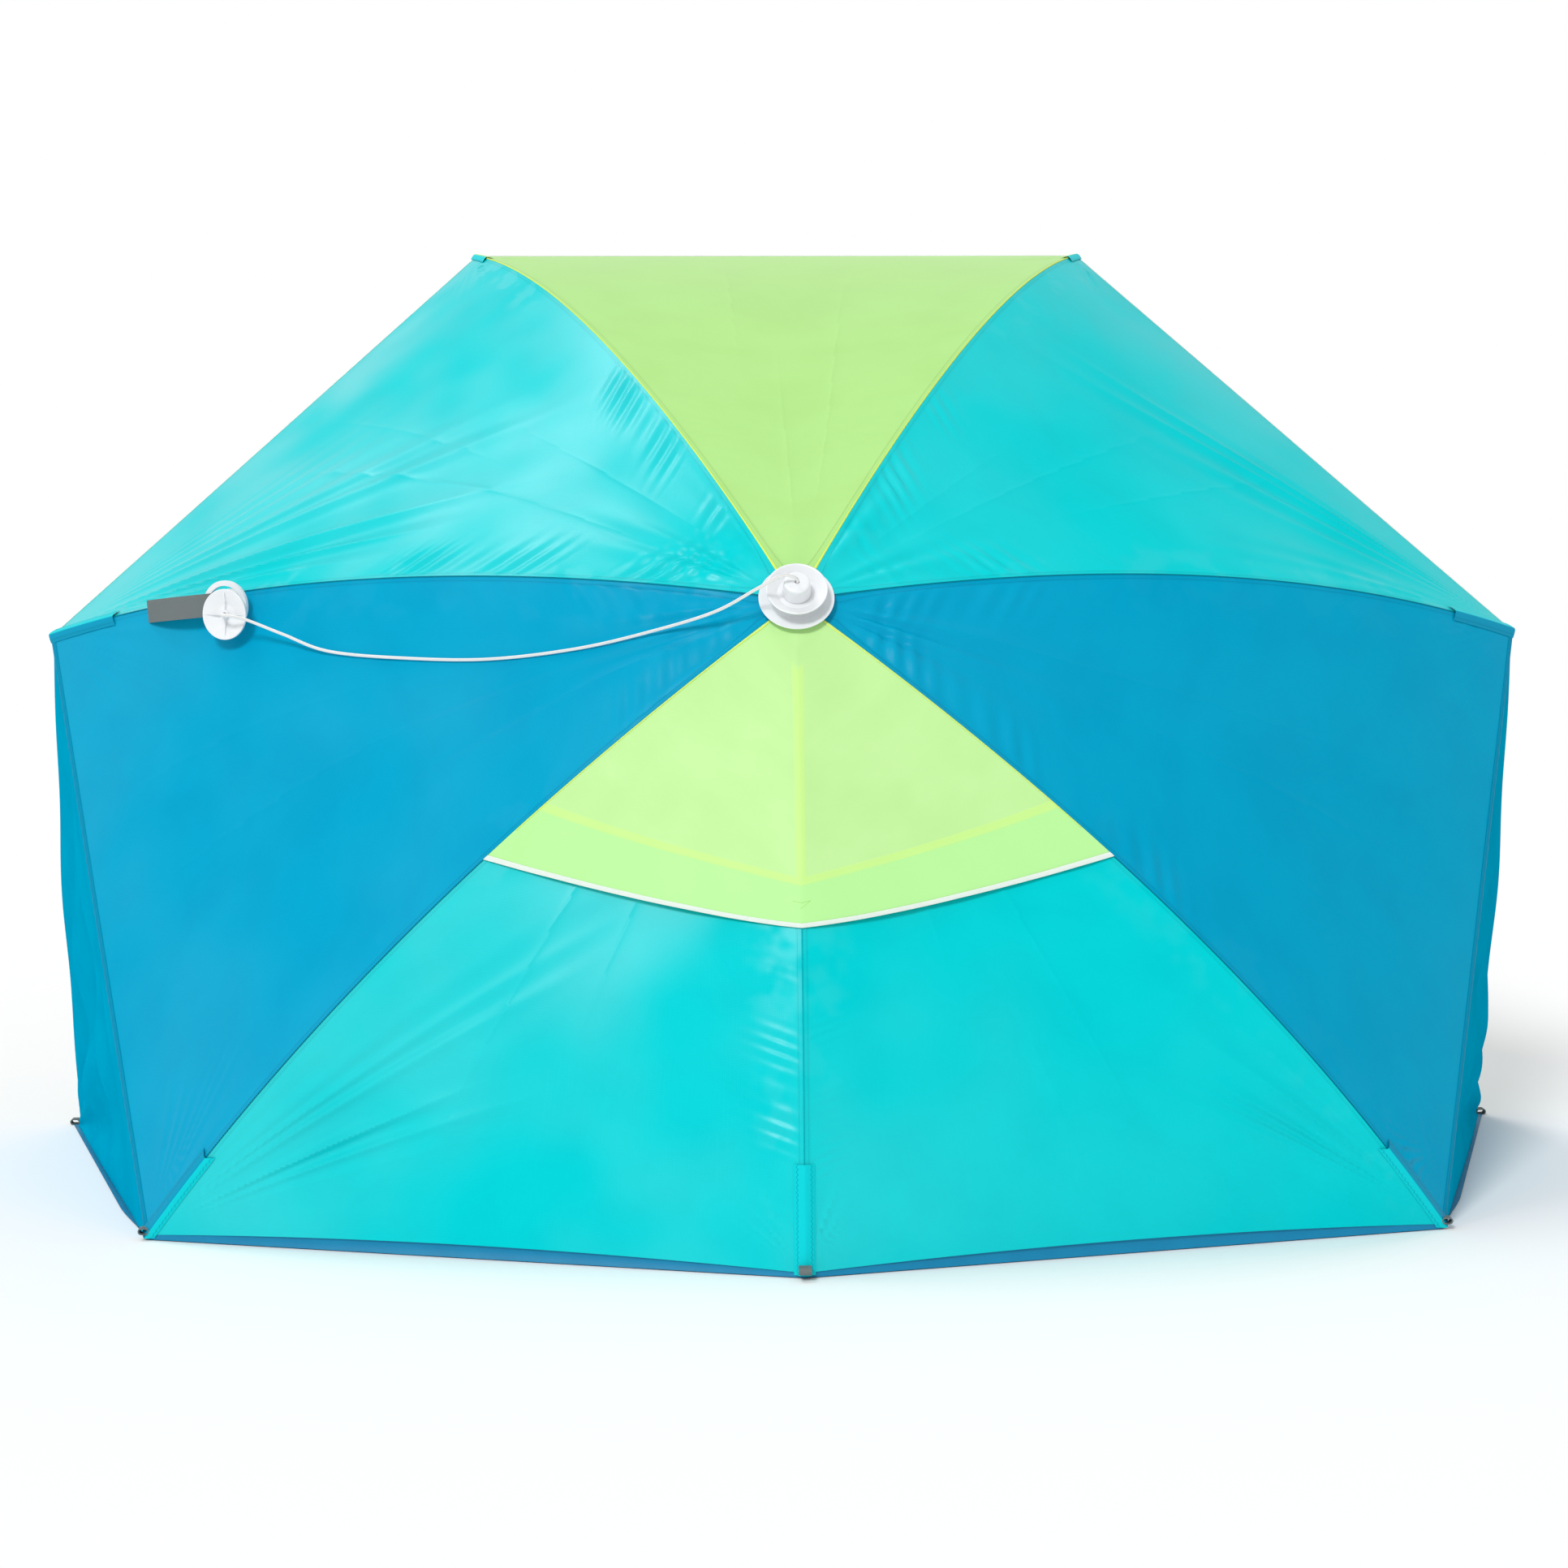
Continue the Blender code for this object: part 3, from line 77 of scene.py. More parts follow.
lens = bpy.data.cameras.new("photo_view")
lens.sensor_width = SENSOR_MM
lens.lens = SENSOR_MM * FOCAL_PIXELS / PHOTO_PIXELS
lens.clip_end = 60
camera = added("photo_view", lens)
turned_to_tent = Matrix.Rotation(-VIEW_YAW, 4, "Z") @ Matrix.Rotation(math.pi / 2 + VIEW_PITCH, 4, "X")
camera.matrix_world = (Matrix.Translation(VIEW_FROM) @ turned_to_tent
                       @ Matrix.Rotation(VIEW_ROLL, 4, "Z"))
bpy.context.scene.camera = camera


# Clothesline: a braided white line 4 mm thick, knotted inside the hub's knob and inside the
# winder. It lies slack over the left side panels.
class Field:
    """A value that changes over a surface; a sum on it adds the sum's node to its material."""

    def __init__(self, finish, socket):
        self.finish = finish
        self.socket = socket

    def sum(self, operation, *values):
        return self.finish.node("ShaderNodeMath", {"operation": operation}, *values)

    def __add__(self, other):
        return self.sum("ADD", self, other)

    def __sub__(self, other):
        return self.sum("SUBTRACT", self, other)

    def __rsub__(self, other):
        return self.sum("SUBTRACT", other, self)

    def __mul__(self, other):
        return self.sum("MULTIPLY", self, other)

    def __pow__(self, other):
        return self.sum("POWER", self, other)

    def __abs__(self):
        return self.sum("ABSOLUTE", self)

    __radd__ = __add__
    __rmul__ = __mul__

    def sine(self):
        return self.sum("SINE", self)

    def wave(self, pitch):
        """A sine wave with that pitch in metres."""
        return (self * (2 * math.pi / pitch)).sine()

    def highest(self, other):
        return self.sum("MAXIMUM", self, other)

    def between(self, low, high):
        """Rises smoothly from 0 at low to 1 at high, or falls where high is the smaller."""
        settings = {"interpolation_type": "SMOOTHSTEP"}
        rise = self.finish.node("ShaderNodeMapRange", settings, self, min(low, high), max(low, high))
        return rise if low < high else 1 - rise

    def band(self, centre, width):
        """1 on a stripe of that width, with soft edges."""
        return abs(self - centre).between(width / 2, width / 3)


class Nodes:
    """The nodes of a material or of the surround."""

    def __init__(self, owner):
        owner.use_nodes = True
        self.tree = owner.node_tree

    def feed(self, socket, value):
        """Links a field to a socket, or sets the socket to a value or a colour."""
        if isinstance(value, Field):
            self.tree.links.new(value.socket, socket)
        elif value is not None:
            socket.default_value = (*value, 1) if socket.type == "RGBA" else value

    def node(self, kind, settings, *values, output=0, **named):
        """Adds a node: its settings first, then the values or links of its sockets."""
        node = self.tree.nodes.new(kind)
        for setting, value in settings.items():
            setattr(node, setting, value)
        for socket, value in zip(node.inputs, values):
            self.feed(socket, value)
        for socket, value in named.items():
            self.feed(node.inputs[socket.replace("_", " ")], value)
        return Field(self, node.outputs[output])


class Finish(Nodes):
    """A material and the nodes that shape it."""

    def __init__(self, name, roughness, gloss=0.5, metallic=0.0, **settings):
        self.material = bpy.data.materials.new(name)
        super().__init__(self.material)
        self.shader = self.tree.nodes["Principled BSDF"]
        settings.update(Roughness=roughness, Specular_IOR_Level=gloss, Metallic=metallic)
        for setting, value in settings.items():
            self.shader.inputs[setting.replace("_", " ")].default_value = value

    def place(self):
        """Object coordinates, in metres."""
        return self.node("ShaderNodeTexCoord", {}, output=3)

    def sewn(self):
        """The cloth's own coordinates in metres, across and along its seams."""
        spot = self.node("ShaderNodeUVMap", {"uv_map": "sewn"})
        across = self.node("ShaderNodeSeparateXYZ", {}, spot, output=0)
        return spot, across, Field(self, across.socket.node.outputs[1])

    def noise(self, spot, scale, detail=2.0):
        return self.node("ShaderNodeTexNoise", {}, Vector=spot, Scale=scale, Detail=detail, Roughness=0.5)

    def tint(self, first, second, share):
        """A colour between two, each a colour or a field."""
        return self.node("ShaderNodeMix", {"data_type": "RGBA"}, share, *[None] * 5, first, second, output=2)

    def grained(self, first, second, grain, depth, roughness=None):
        """Finishes it between two colours over a grain, which is its relief as well."""
        return self.finish(self.tint(first, second, grain), grain, depth, roughness)

    def finish(self, colour, height=None, depth=0.0, roughness=None):
        """Sets the surface: its colour, its relief as a height in metres, and its roughness."""
        self.feed(self.shader.inputs["Base Color"], colour)
        self.feed(self.shader.inputs["Roughness"], roughness)
        if height is not None:
            relief = self.node("ShaderNodeBump", {}, Strength=1.0, Distance=depth, Height=height)
            self.feed(self.shader.inputs["Normal"], relief)
        return self.material


def mesh_of(form, name, sharp_angle=None):
    """The mesh of a finished form; with an angle it is smooth but for the edges sharper than that."""
    mesh = bpy.data.meshes.new(name)
    form.to_mesh(mesh)
    form.free()
    mesh.shade_smooth()
    if sharp_angle:
        mesh.set_sharp_from_angle(angle=math.radians(sharp_angle))
    return mesh


def swept(name, path, beside, outline, closed=False):
    """Draws an outline of (beside, above) points along a path; beside is its way at the start."""
    path = [Vector(point) for point in path]
    count = len(path)
    beside = Vector(beside)
    places = []
    for number, point in enumerate(path):
        before = path[number - 1] if closed or number else point
        after = path[(number + 1) % count] if closed or number < count - 1 else point
        ahead = (after - before).normalized()
        beside = (beside - ahead * beside.dot(ahead)).normalized()
        place = Matrix((beside, ahead.cross(beside), ahead)).transposed().to_4x4()
        place.translation = point
        places.append(place)
    form = bmesh.new()
    sewn = form.loops.layers.uv.new("sewn")
    ring = [form.verts.new((across, up, 0)) for across, up in outline]
    first = [form.edges.new(pair) for pair in zip(ring, ring[1:] + ring[:1])]
    bmesh.ops.transform(form, matrix=places[0], verts=ring)
    size = len(ring)
    last = first
    for before, after in zip(places, places[1:]):
        grown = bmesh.ops.extrude_edge_only(form, edges=last)["geom"]
        moved = [item for item in grown if isinstance(item, bmesh.types.BMVert)]
        last = [item for item in grown if isinstance(item, bmesh.types.BMEdge)
                and item.verts[0] in moved and item.verts[1] in moved]
        bmesh.ops.transform(form, matrix=after @ before.inverted(), verts=moved)
    if closed:
        bmesh.ops.bridge_loops(form, edges=first + last)
    else:
        bmesh.ops.edgeloop_fill(form, edges=first)
        bmesh.ops.edgeloop_fill(form, edges=last)
    bmesh.ops.recalc_face_normals(form, faces=form.faces)
    lengths = [0.0]
    for before, after in zip(path, path[1:]):
        lengths.append(lengths[-1] + (after - before).length)
    rounds = [0.0]
    for near, far in zip(outline, outline[1:]):
        rounds.append(rounds[-1] + math.dist(near, far))
    form.verts.index_update()
    for face in form.faces:
        for loop in face.loops:
            station, corner = divmod(loop.vert.index, size)
            loop[sewn].uv = (rounds[corner], lengths[station])
    return mesh_of(form, name, sharp_angle=40)


def dressed(name, mesh, material, body, *nodes):
    """A piece with its material, which rides on a body and may stand for some of the frame's nodes."""
    mesh.name = name
    piece = added(name, mesh)
    mesh.materials.clear()
    mesh.materials.append(material)
    if body:
        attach(piece, body)
    if nodes:
        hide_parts(*nodes)
    return piece


LINE_DIAMETER = 0.004
LINE_TURNS = [2 * math.pi * side / 12 for side in range(12)]
LINE_STATIONS = 160
LINE_PICKS = 2 * math.pi / 0.004
LINE_ROUTE = (
    (0.0, 0.0146, 0.8112), (0.0, 0.0111, 0.8138), (0.0, 0.0077, 0.8165),
    (0.0, 0.0029, 0.8201), (-0.0180, -0.0020, 0.8245), (-0.0500, -0.0010, 0.8080),
    (-0.1000, 0.0170, 0.7800), (-0.1708, 0.0370, 0.7570), (-0.2700, 0.0560, 0.7330),
    (-0.3850, 0.0850, 0.7182), (-0.4966, 0.1315, 0.7176), (-0.5950, 0.1840, 0.7238),
    (-0.6550, 0.2120, 0.7440), (-0.7009, 0.2288, 0.7610), (-0.7204, 0.2324, 0.7665),
    (-0.7333, 0.2376, 0.7680), (-0.7390, 0.2442, 0.7684), (-0.7398, 0.2518, 0.7686),
    (-0.7372, 0.2572, 0.7686), (-0.7359, 0.2599, 0.7686), (-0.7345, 0.2628, 0.7686),
)


def smooth_route(points, count):
    """Points at even steps along a smooth curve through the given ones."""
    places = np.array([2 * np.array(points[0]) - points[1], *points, 2 * np.array(points[-1]) - points[-2]])
    fine = []
    for before, start, end, after in zip(places, places[1:], places[2:], places[3:]):
        for part in np.linspace(0, 1, 16, endpoint=False):
            bend = 2 * before - 5 * start + 4 * end - after
            fine.append((2 * start + (end - before) * part + bend * part ** 2
                         + (3 * start - before - 3 * end + after) * part ** 3) / 2)
    fine = np.array([*fine, places[-2]])
    lengths = np.concatenate([[0], np.cumsum(np.linalg.norm(np.diff(fine, axis=0), axis=1))])
    even = np.linspace(0, lengths[-1], count)
    return np.stack([np.interp(even, lengths, fine[:, axis]) for axis in range(3)], axis=1)


line_finish = Finish("braided_line", roughness=0.75, gloss=0.3)
_, line_round, line_along = line_finish.sewn()
picks_along, picks_round = line_along * LINE_PICKS, line_round * LINE_PICKS
line_braid = (picks_along + picks_round).sine() * (picks_along - picks_round).sine()
line_colour = line_finish.tint((0.80, 0.80, 0.79), (0.90, 0.90, 0.89), line_braid.between(-0.6, 0.6))
line_finish.finish(line_colour, line_braid, depth=0.00012)
line_path = smooth_route(LINE_ROUTE, LINE_STATIONS)
line_radius = LINE_DIAMETER / 2
line_outline = [(line_radius * math.cos(turn), line_radius * math.sin(turn)) for turn in LINE_TURNS]
line_mesh = swept("clothesline_cord", line_path, (1, 0, 0), line_outline)
clothesline = dressed("clothesline_cord", line_mesh, line_finish.material, None)
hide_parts("clothesline")
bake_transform(clothesline)


# Canopy: seven gores of thin shiny polyester, sewn to each other over the ribs. Lime on top, aqua
# on the shoulders and at the rear, blue at the sides. It strains at the rib tips, and ripples.
TILT = math.radians(52.57)
RIB_STEP = 2 * math.pi / 7
HEM_LENGTH = 0.90
REACH = HEM_LENGTH / (2 * math.sin(RIB_STEP / 2))
ARC_LENGTH = 1.13
CLOTH_START = 0.030
CLOTH_ENDS = (-0.001, -0.001, 0.009, 0.009, 0.009, 0.009, -0.001)
HOLLOW = 0.006
REAR_BOW, SIDE_BOW, TOP_BOW = (0.445, 0.56, 0.21), (0.404, 0.73, 0.11), (0.430, 0.73, 0.20)
RIB_BOWS = (REAR_BOW, REAR_BOW, SIDE_BOW, TOP_BOW, TOP_BOW, SIDE_BOW, REAR_BOW)
RIB_NAMES = ("rear_centre", "rear_right", "side_right", "top_right", "top_left", "side_left", "rear_left")
TIP_SHARES = (0.763626, 1, 1, 1, 1, 1, 1)
HEM_SCALLOPS = (0.011, 0, 0, 0.004, 0, 0, 0.011)
UMBRELLA = Matrix.Translation((0, 0.0396549, 0.7919689)) @ Matrix.Rotation(TILT, 4, "X")
VENT_GAP = 0.0006
RIPSTOP = 0.0052
NARROWEST_SHARE = 0.03


def ridge(rib, share):
    """Points of the cloth over a rib, at shares of its reach, on the upright canopy."""
    fall, square, fourth = RIB_BOWS[rib % 7]
    droop = fall * ((1 - square - fourth) * share + square * share ** 2 + fourth * share ** 4)
    turn = rib * RIB_STEP
    return np.stack([math.sin(turn) * REACH * share, -math.cos(turn) * REACH * share, -droop], axis=-1)


def cloth_reach(rib):
    """How far out from the hub the cloth over a rib reaches, from where it starts."""
    return TIP_SHARES[rib % 7] * REACH - CLOTH_ENDS[rib % 7] - CLOTH_START


def rib_share(rib, share):
    """Share of the rib's reach at a share of its cloth."""
    return (CLOTH_START + cloth_reach(rib) * share) / REACH


def gore_width(share):
    return HEM_LENGTH * np.clip(share, NARROWEST_SHARE, 1)


def gore(index, share, across):
    """Points of a gore's cloth: from hub to hem, and across from its rib to the next one."""
    share = share - HEM_SCALLOPS[index] / REACH * 4 * across * (1 - across) * share ** 4
    near = ridge(index, rib_share(index, share))
    far = ridge(index + 1, rib_share(index + 1, share))
    place = near + (far - near) * across[..., None]
    place[..., 2] -= HOLLOW * np.sin(np.pi * across) * np.sin(np.pi * share)
    return place


def raised(index, share, across, height):
    """Those points in place on the leaning tent, raised off the gore by a height."""
    little = 0.002
    along = gore(index, share + little, across) - gore(index, share - little, across)
    beside = gore(index, share, across + little) - gore(index, share, across - little)
    out = np.cross(along, beside)
    out /= np.linalg.norm(out, axis=-1, keepdims=True)
    place = gore(index, share, across) + out * np.reshape(height, (-1, 1))
    return place @ np.array(UMBRELLA.to_3x3()).T + np.array(UMBRELLA.translation)


def ramp(value, low, high):
    part = np.clip((value - low) / (high - low), 0, 1)
    return part * part * (3 - 2 * part)


# Strain folds from a rib's tip: gore, its near or its far rib, height, number of folds, reach
STRAIN_FOLDS = (
    (6, "near", 0.0056, 6.2, 0.52),
    (5, "far", 0.0016, 8.0, 0.22),
    (5, "near", 0.0014, 7.0, 0.26),
    (4, "far", 0.0062, 7.5, 0.66),
    (4, "near", 0.0012, 6.0, 0.14),
    (3, "near", 0.0007, 6.0, 0.14),
    (3, "far", 0.0007, 6.0, 0.14),
    (2, "far", 0.0012, 6.0, 0.12),
    (2, "near", 0.0046, 6.5, 0.56),
    (1, "far", 0.0012, 7.0, 0.20),
    (1, "near", 0.0012, 9.0, 0.16),
    (0, "far", 0.0032, 6.5, 0.40),
    (0, "near", 0.0008, 6.0, 0.12),
    (6, "far", 0.0008, 6.0, 0.12),
)
# Ripples beside a seam: gore, its near or its far rib, from and to which share, spacing, height
SEAM_RIPPLES = (
    (4, "near", 0.12, 0.54, 0.030, 0.0021),
    (4, "far", 0.05, 0.56, 0.034, 0.0020),
    (2, "far", 0.08, 0.50, 0.030, 0.0018),
    (2, "near", 0.05, 0.42, 0.032, 0.0016),
    (5, "near", 0.04, 0.46, 0.036, 0.0010),
    (5, "far", 0.04, 0.40, 0.034, 0.0010),
    (1, "far", 0.04, 0.46, 0.036, 0.0010),
    (1, "near", 0.05, 0.62, 0.041, 0.0017),
    (3, "near", 0.05, 0.40, 0.030, 0.0003),
    (3, "far", 0.05, 0.40, 0.030, 0.0003),
    (6, "far", 0.56, 0.98, 0.026, 0.0008),
    (0, "near", 0.62, 0.98, 0.019, 0.0004),
)
RIPPLE_REACH = 0.028
# Folds that fan out from the hub: gore, number of folds, how far they reach, height
HUB_FOLDS = (
    (1, 4.5, 0.46, 0.0022),
    (5, 4.0, 0.40, 0.0019),
    (2, 3.5, 0.34, 0.0014),
    (4, 4.0, 0.40, 0.0018),
)
STRAIN_START = 0.03
STORAGE_CREASE = 0.0010
CREASE_HALF = 0.0045
CREASE_SHARES = (0.34, 0.5, 0.63)
SLOW_WAVES = 0.0011
SEWN_FLAT = 0.010
TIP_ANGLE = math.radians(64.3)


def arch(value):
    """Rises from 0 to 1 at the middle of a span and falls to 0 again."""
    return np.sin(np.pi * np.clip(value, 0, 1))


def rows_of(table, index):
    return [row[1:] for row in table if row[0] == index]


def sharpened(wave):
    """The same wave with its crests drawn out to sharp creases."""
    return 1 - 2 * np.sqrt(np.clip((1 - wave) / 2, 0, 1))


def wrinkles(index, share, across):
    """Height of the gore's folds and ripples; they die out at both of its seams."""
    width = gore_width(share)
    from_rib = {"near": across * width, "far": (1 - across) * width}
    phase = index * 1.7
    height = np.zeros_like(share)
    for end, depth, folds, reach in rows_of(STRAIN_FOLDS, index):
        rib = index + (end == "far")
        down = ARC_LENGTH * TIP_SHARES[rib % 7] * (1 - share)
        away = np.hypot(from_rib[end], down)
        turn = np.arctan2(from_rib[end], np.maximum(down, 0)) / TIP_ANGLE
        uneven = turn + 0.045 * np.sin(9 * turn + phase + rib) + 0.02 * np.sin(17 * turn + 2 * rib)
        wave = np.sin(2 * np.pi * folds * uneven + rib) * (0.65 + 0.35 * np.sin(5 * turn + phase))
        fade = 1 - ramp(away, reach * 0.45, reach * (1 + 0.25 * np.sin(7 * turn + rib)))
        spread = ramp(away, STRAIN_START, reach * 0.45) * fade
        height += depth * sharpened(wave) * spread * arch(turn) ** 0.7
    for end, start, stop, spacing, depth in rows_of(SEAM_RIPPLES, index):
        run = (share * ARC_LENGTH + 0.35 * from_rib[end]) / spacing
        wave = np.sin(2 * np.pi * run + 1.3 * np.sin(run * 1.1 + phase))
        window = ramp(share, start, start + 0.05) * (1 - ramp(share, stop - 0.10, stop))
        patchy = 0.45 + 0.8 * np.sin(run * 0.83 + phase) * np.sin(run * 0.31 + 2 * phase + 1)
        beside = from_rib[end] / RIPPLE_REACH
        height += depth * wave * window * np.clip(patchy, 0, 1) * beside * np.exp((1 - beside ** 2) / 2)
    for folds, reach, depth in rows_of(HUB_FOLDS, index):
        bent = 1.4 * np.sin(3 * np.pi * across + phase)
        fan = np.sin(2 * np.pi * folds * across + bent + 2.4 * share + phase)
        height += depth * fan * ramp(share, 0.02, 0.09) * (1 - ramp(share, reach * 0.35, reach))
    for number, middle in enumerate(CREASE_SHARES):
        off = (across - middle - 0.03 * np.sin(4 * share + phase + number)) * width
        crease = np.exp(-np.abs(off) / CREASE_HALF) * (0.5 + 0.5 * np.sin(6 * share + phase + 2 * number))
        height += STORAGE_CREASE * crease * ramp(share, 0.08, 0.2) * (1 - ramp(share, 0.75, 0.95))
    slow = (np.sin(7.1 * share + 4.3 * across + phase) + np.sin(11.3 * share - 6.1 * across + 2 * phase)
            + 0.6 * np.sin(17.9 * share + 9.7 * across - phase))
    height += SLOW_WAVES * slow * arch(across) * arch(share) ** 0.5
    return height * ramp(from_rib["near"], 0.0, SEWN_FLAT) * ramp(from_rib["far"], 0.0, SEWN_FLAT)


def laid_cloth(name, surface, rows, columns):
    """A sheet of cloth: a grid laid over a surface by its points' shares along and across it.

    The surface gives each point's place and its distances in metres across and along the seams.
    """
    form = bmesh.new()
    bmesh.ops.create_grid(form, x_segments=rows, y_segments=columns, size=0.5)
    mesh = mesh_of(form, name)
    flat = np.empty(len(mesh.vertices) * 3, np.float32)
    mesh.vertices.foreach_get("co", flat)
    along, across = flat.reshape(-1, 3)[:, :2].T.astype(float) + 0.5
    little = 0.0005
    place, *sewn = surface(along, across)
    forward = surface(along + little, across)[0] - surface(along - little, across)[0]
    aside = surface(along, across + little)[0] - surface(along, across - little)[0]
    facing = np.cross(forward, aside)
    facing /= np.maximum(np.linalg.norm(facing, axis=1, keepdims=True), 1e-12)
    mesh.vertices.foreach_set("co", place.astype(np.float32).ravel())
    corners = np.empty(len(mesh.loops), np.int32)
    mesh.loops.foreach_get("vertex_index", corners)
    layer = mesh.uv_layers.new(name="sewn")
    layer.data.foreach_set("uv", np.stack(sewn, axis=-1)[corners].astype(np.float32).ravel())
    mesh.normals_split_custom_set_from_vertices(facing)
    return mesh


def area(mesh):
    return sum(face.area for face in mesh.polygons)


def folds_with(piece, rib):
    """The cloth beside a rib rides on that rib, with a mesh of its own."""
    turn = rib * RIB_STEP
    name = RIB_NAMES[rib % 7]
    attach(piece, "rib_" + name)
    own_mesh(piece)
    return piece


def sewn_piece(name, surface, rows, columns, material, rib, *nodes):
    """A sheet of cloth that is sewn in beside a rib and rides on it."""
    return folds_with(dressed(name, laid_cloth(name, surface, rows, columns), material, None, *nodes), rib)


def flat_size(piece, width, taper, rib, held="stretched", **more):
    """Works out a tapering cloth's flat length from its area, its width and its taper, but keeps no result.
    """
    cut = area(piece.data)
    round(taper * cut / width, 2)
    "rib_" + RIB_NAMES[rib % 7]


CLOTH_ROUGHNESS = 0.40
DOUBLED_WIDTH = 0.0085
STITCH_LINE = 0.0062
STITCH_WIDTH = 0.0009
STITCH_PITCH = 0.0034
SHINE_BY_SEAM = (0.085, 0.035)


def cloth_finish(name, colour, shadow, gloss=0.03, shine=0.0):
    """Shiny polyester: a fine ripstop grid, and a doubled strip with a row of stitches by each seam."""
    cloth = Finish(name, roughness=CLOTH_ROUGHNESS, gloss=gloss, Coat_Roughness=0.33)
    spot, aside, along = cloth.sewn()
    weave = aside.wave(RIPSTOP) ** 2
    cross_weave = along.wave(RIPSTOP) ** 2
    ripstop = (weave ** 12).highest(cross_weave ** 12)
    mottle = cloth.noise(spot, 9.0, 3.0)
    doubled = aside.between(DOUBLED_WIDTH, DOUBLED_WIDTH - 0.0007)
    stitches = aside.band(STITCH_LINE, STITCH_WIDTH) * along.wave(STITCH_PITCH).between(-0.5, 0.1)
    shade = cloth.tint(colour, shadow, mottle.between(0.62, 0.30) * 0.35 + doubled * 0.30)
    shade = cloth.tint(shade, tuple(share * 0.72 for share in shadow), stitches * 0.8)
    height = ripstop * 0.25 + doubled * 0.8 + stitches * -1.0 + cloth.noise(spot, 46.0, 2.0) * 1.1
    if shine:
        here = cloth.place()
        sheltered = cloth.node("ShaderNodeSeparateXYZ", {}, here, output=0).between(-0.30, 0.45)
        patches = cloth.noise(here, 3.6, 2.0).between(0.34, 0.66) * (1 - sheltered * 0.8)
        by_seam = cloth.noise(here, 21.0, 2.0).between(0.42, 0.62) * aside.between(*SHINE_BY_SEAM)
        by_seam = by_seam * (0.6 - sheltered * 0.3)
        cloth.feed(cloth.shader.inputs["Coat Weight"], patches.highest(by_seam) * shine)
    roughness = mottle.between(0.2, 0.8) * 0.10 + (CLOTH_ROUGHNESS - 0.05)
    return cloth.finish(shade, height, 0.00022, roughness)


LIME = cloth_finish("lime_polyester", (0.43, 0.75, 0.25), (0.38, 0.68, 0.20), gloss=0.08)
AQUA = cloth_finish("aqua_polyester", (0.0, 0.60, 0.63), (0.0, 0.53, 0.57), shine=0.85)
BLUE = cloth_finish("blue_polyester", (0.0, 0.34, 0.55), (0.0, 0.285, 0.49), shine=0.20)
# Gores, counted round from the right rear one: number, first and second half, cloth, slot
GORES = (
    (0, "rear_right_panel_inner", "rear_right_panel_outer", AQUA, "aqua_cloth"),
    (1, "side_right_panel_lower", "side_right_panel_upper", BLUE, "blue_cloth"),
    (2, "shoulder_right_panel_lower", "shoulder_right_panel_upper", AQUA, "aqua_cloth"),
    (3, "top_panel_right", "top_panel_left", LIME, "lime_cloth"),
    (4, "shoulder_left_panel_upper", "shoulder_left_panel_lower", AQUA, "aqua_cloth"),
    (5, "side_left_panel_upper", "side_left_panel_lower", BLUE, "blue_cloth"),
    (6, "rear_left_panel_outer", "rear_left_panel_inner", AQUA, "aqua_cloth"),
)
HALF_ROWS, HALF_COLUMNS = 330, 76
PANEL_TAPER = 2
MESH_HEM = {0: (0.3519, 0.3857), 6: (0.3857, 0.3519)}


def line_over(index, rib_shares, across):
    """Share along a gore at which a straight line lies between two of its ribs' shares."""
    near, far = ((share * REACH - CLOTH_START) / cloth_reach(index + number)
                 for number, share in enumerate(rib_shares))
    return near * (1 - across) + far * across


def halves(index, *names):
    """Each half of a gore: its name, from and to where across the gore, and the rib it rides on."""
    return [(name, half / 2, (half + 1) / 2, index + half) for half, name in enumerate(names)]


def half_surface(index, low, high):
    def surface(along, beside):
        across = low + (high - low) * beside
        first = line_over(index, MESH_HEM[index], across) + VENT_GAP / REACH if index in MESH_HEM else 0
        share = first + (1 - first) * along
        place = raised(index, share, across, wrinkles(index, share, across))
        aside = np.minimum(across, 1 - across) * gore_width(share)
        return place, aside, (1 - share) * ARC_LENGTH
    return surface


for index, first_half, second_half, material, colour_slot in GORES:
    for name, low, high, rib in halves(index, first_half, second_half):
        panel = sewn_piece(name + "_cloth", half_surface(index, low, high), HALF_ROWS, HALF_COLUMNS, material,
                           rib, name)
        flat_size(panel, HEM_LENGTH / 2, PANEL_TAPER, rib)


# Vent: at the rear top the two aqua gores give way to a soft net, and a lime flap lies over it as
# a rain cover. The flap is sewn into the seams beside it; its free hem is bound in white tape.
FLAP_HEM = {0: (0.4058, 0.4754), 6: (0.4754, 0.4058)}
FLAP_LIFT = 0.0022
FLAP_BILLOW = 0.010
FLAP_FOLD = 0.0012
FLAP_RIPPLE = 0.0007
BINDING_WIDTH = 0.008
TAPE_RISE = 0.0006
HEM_ROUNDING = 0.22
TACK_HALF = 0.011
TACK_TOP = -0.039
TACK_THREAD = 0.0014
SEAM_BEHIND = 0.014
NET_HEM_BEHIND = 0.016
THREAD_EDGE = 0.0004
NET_PITCH = 2 * math.pi / 0.0016
TAPE_PITCH = 0.0012
VENT_TAPER = 1.6


def rear_line(hems, across):
    """Share at which a line lies over both rear gores: across is from -1 at the left rib to 1."""
    if hems is FLAP_HEM:
        rounded = np.hypot(across, HEM_ROUNDING) - HEM_ROUNDING
        across = np.sign(across) * rounded / (math.hypot(1, HEM_ROUNDING) - HEM_ROUNDING)
    left = line_over(6, hems[6], 1 + across)
    right = line_over(0, hems[0], across)
    return np.where(across < 0, left, right)


def rear_raised(share, across, height):
    left = raised(6, share, 1 + across, height)
    right = raised(0, share, across, height)
    return np.where(across[:, None] < 0, left, right)


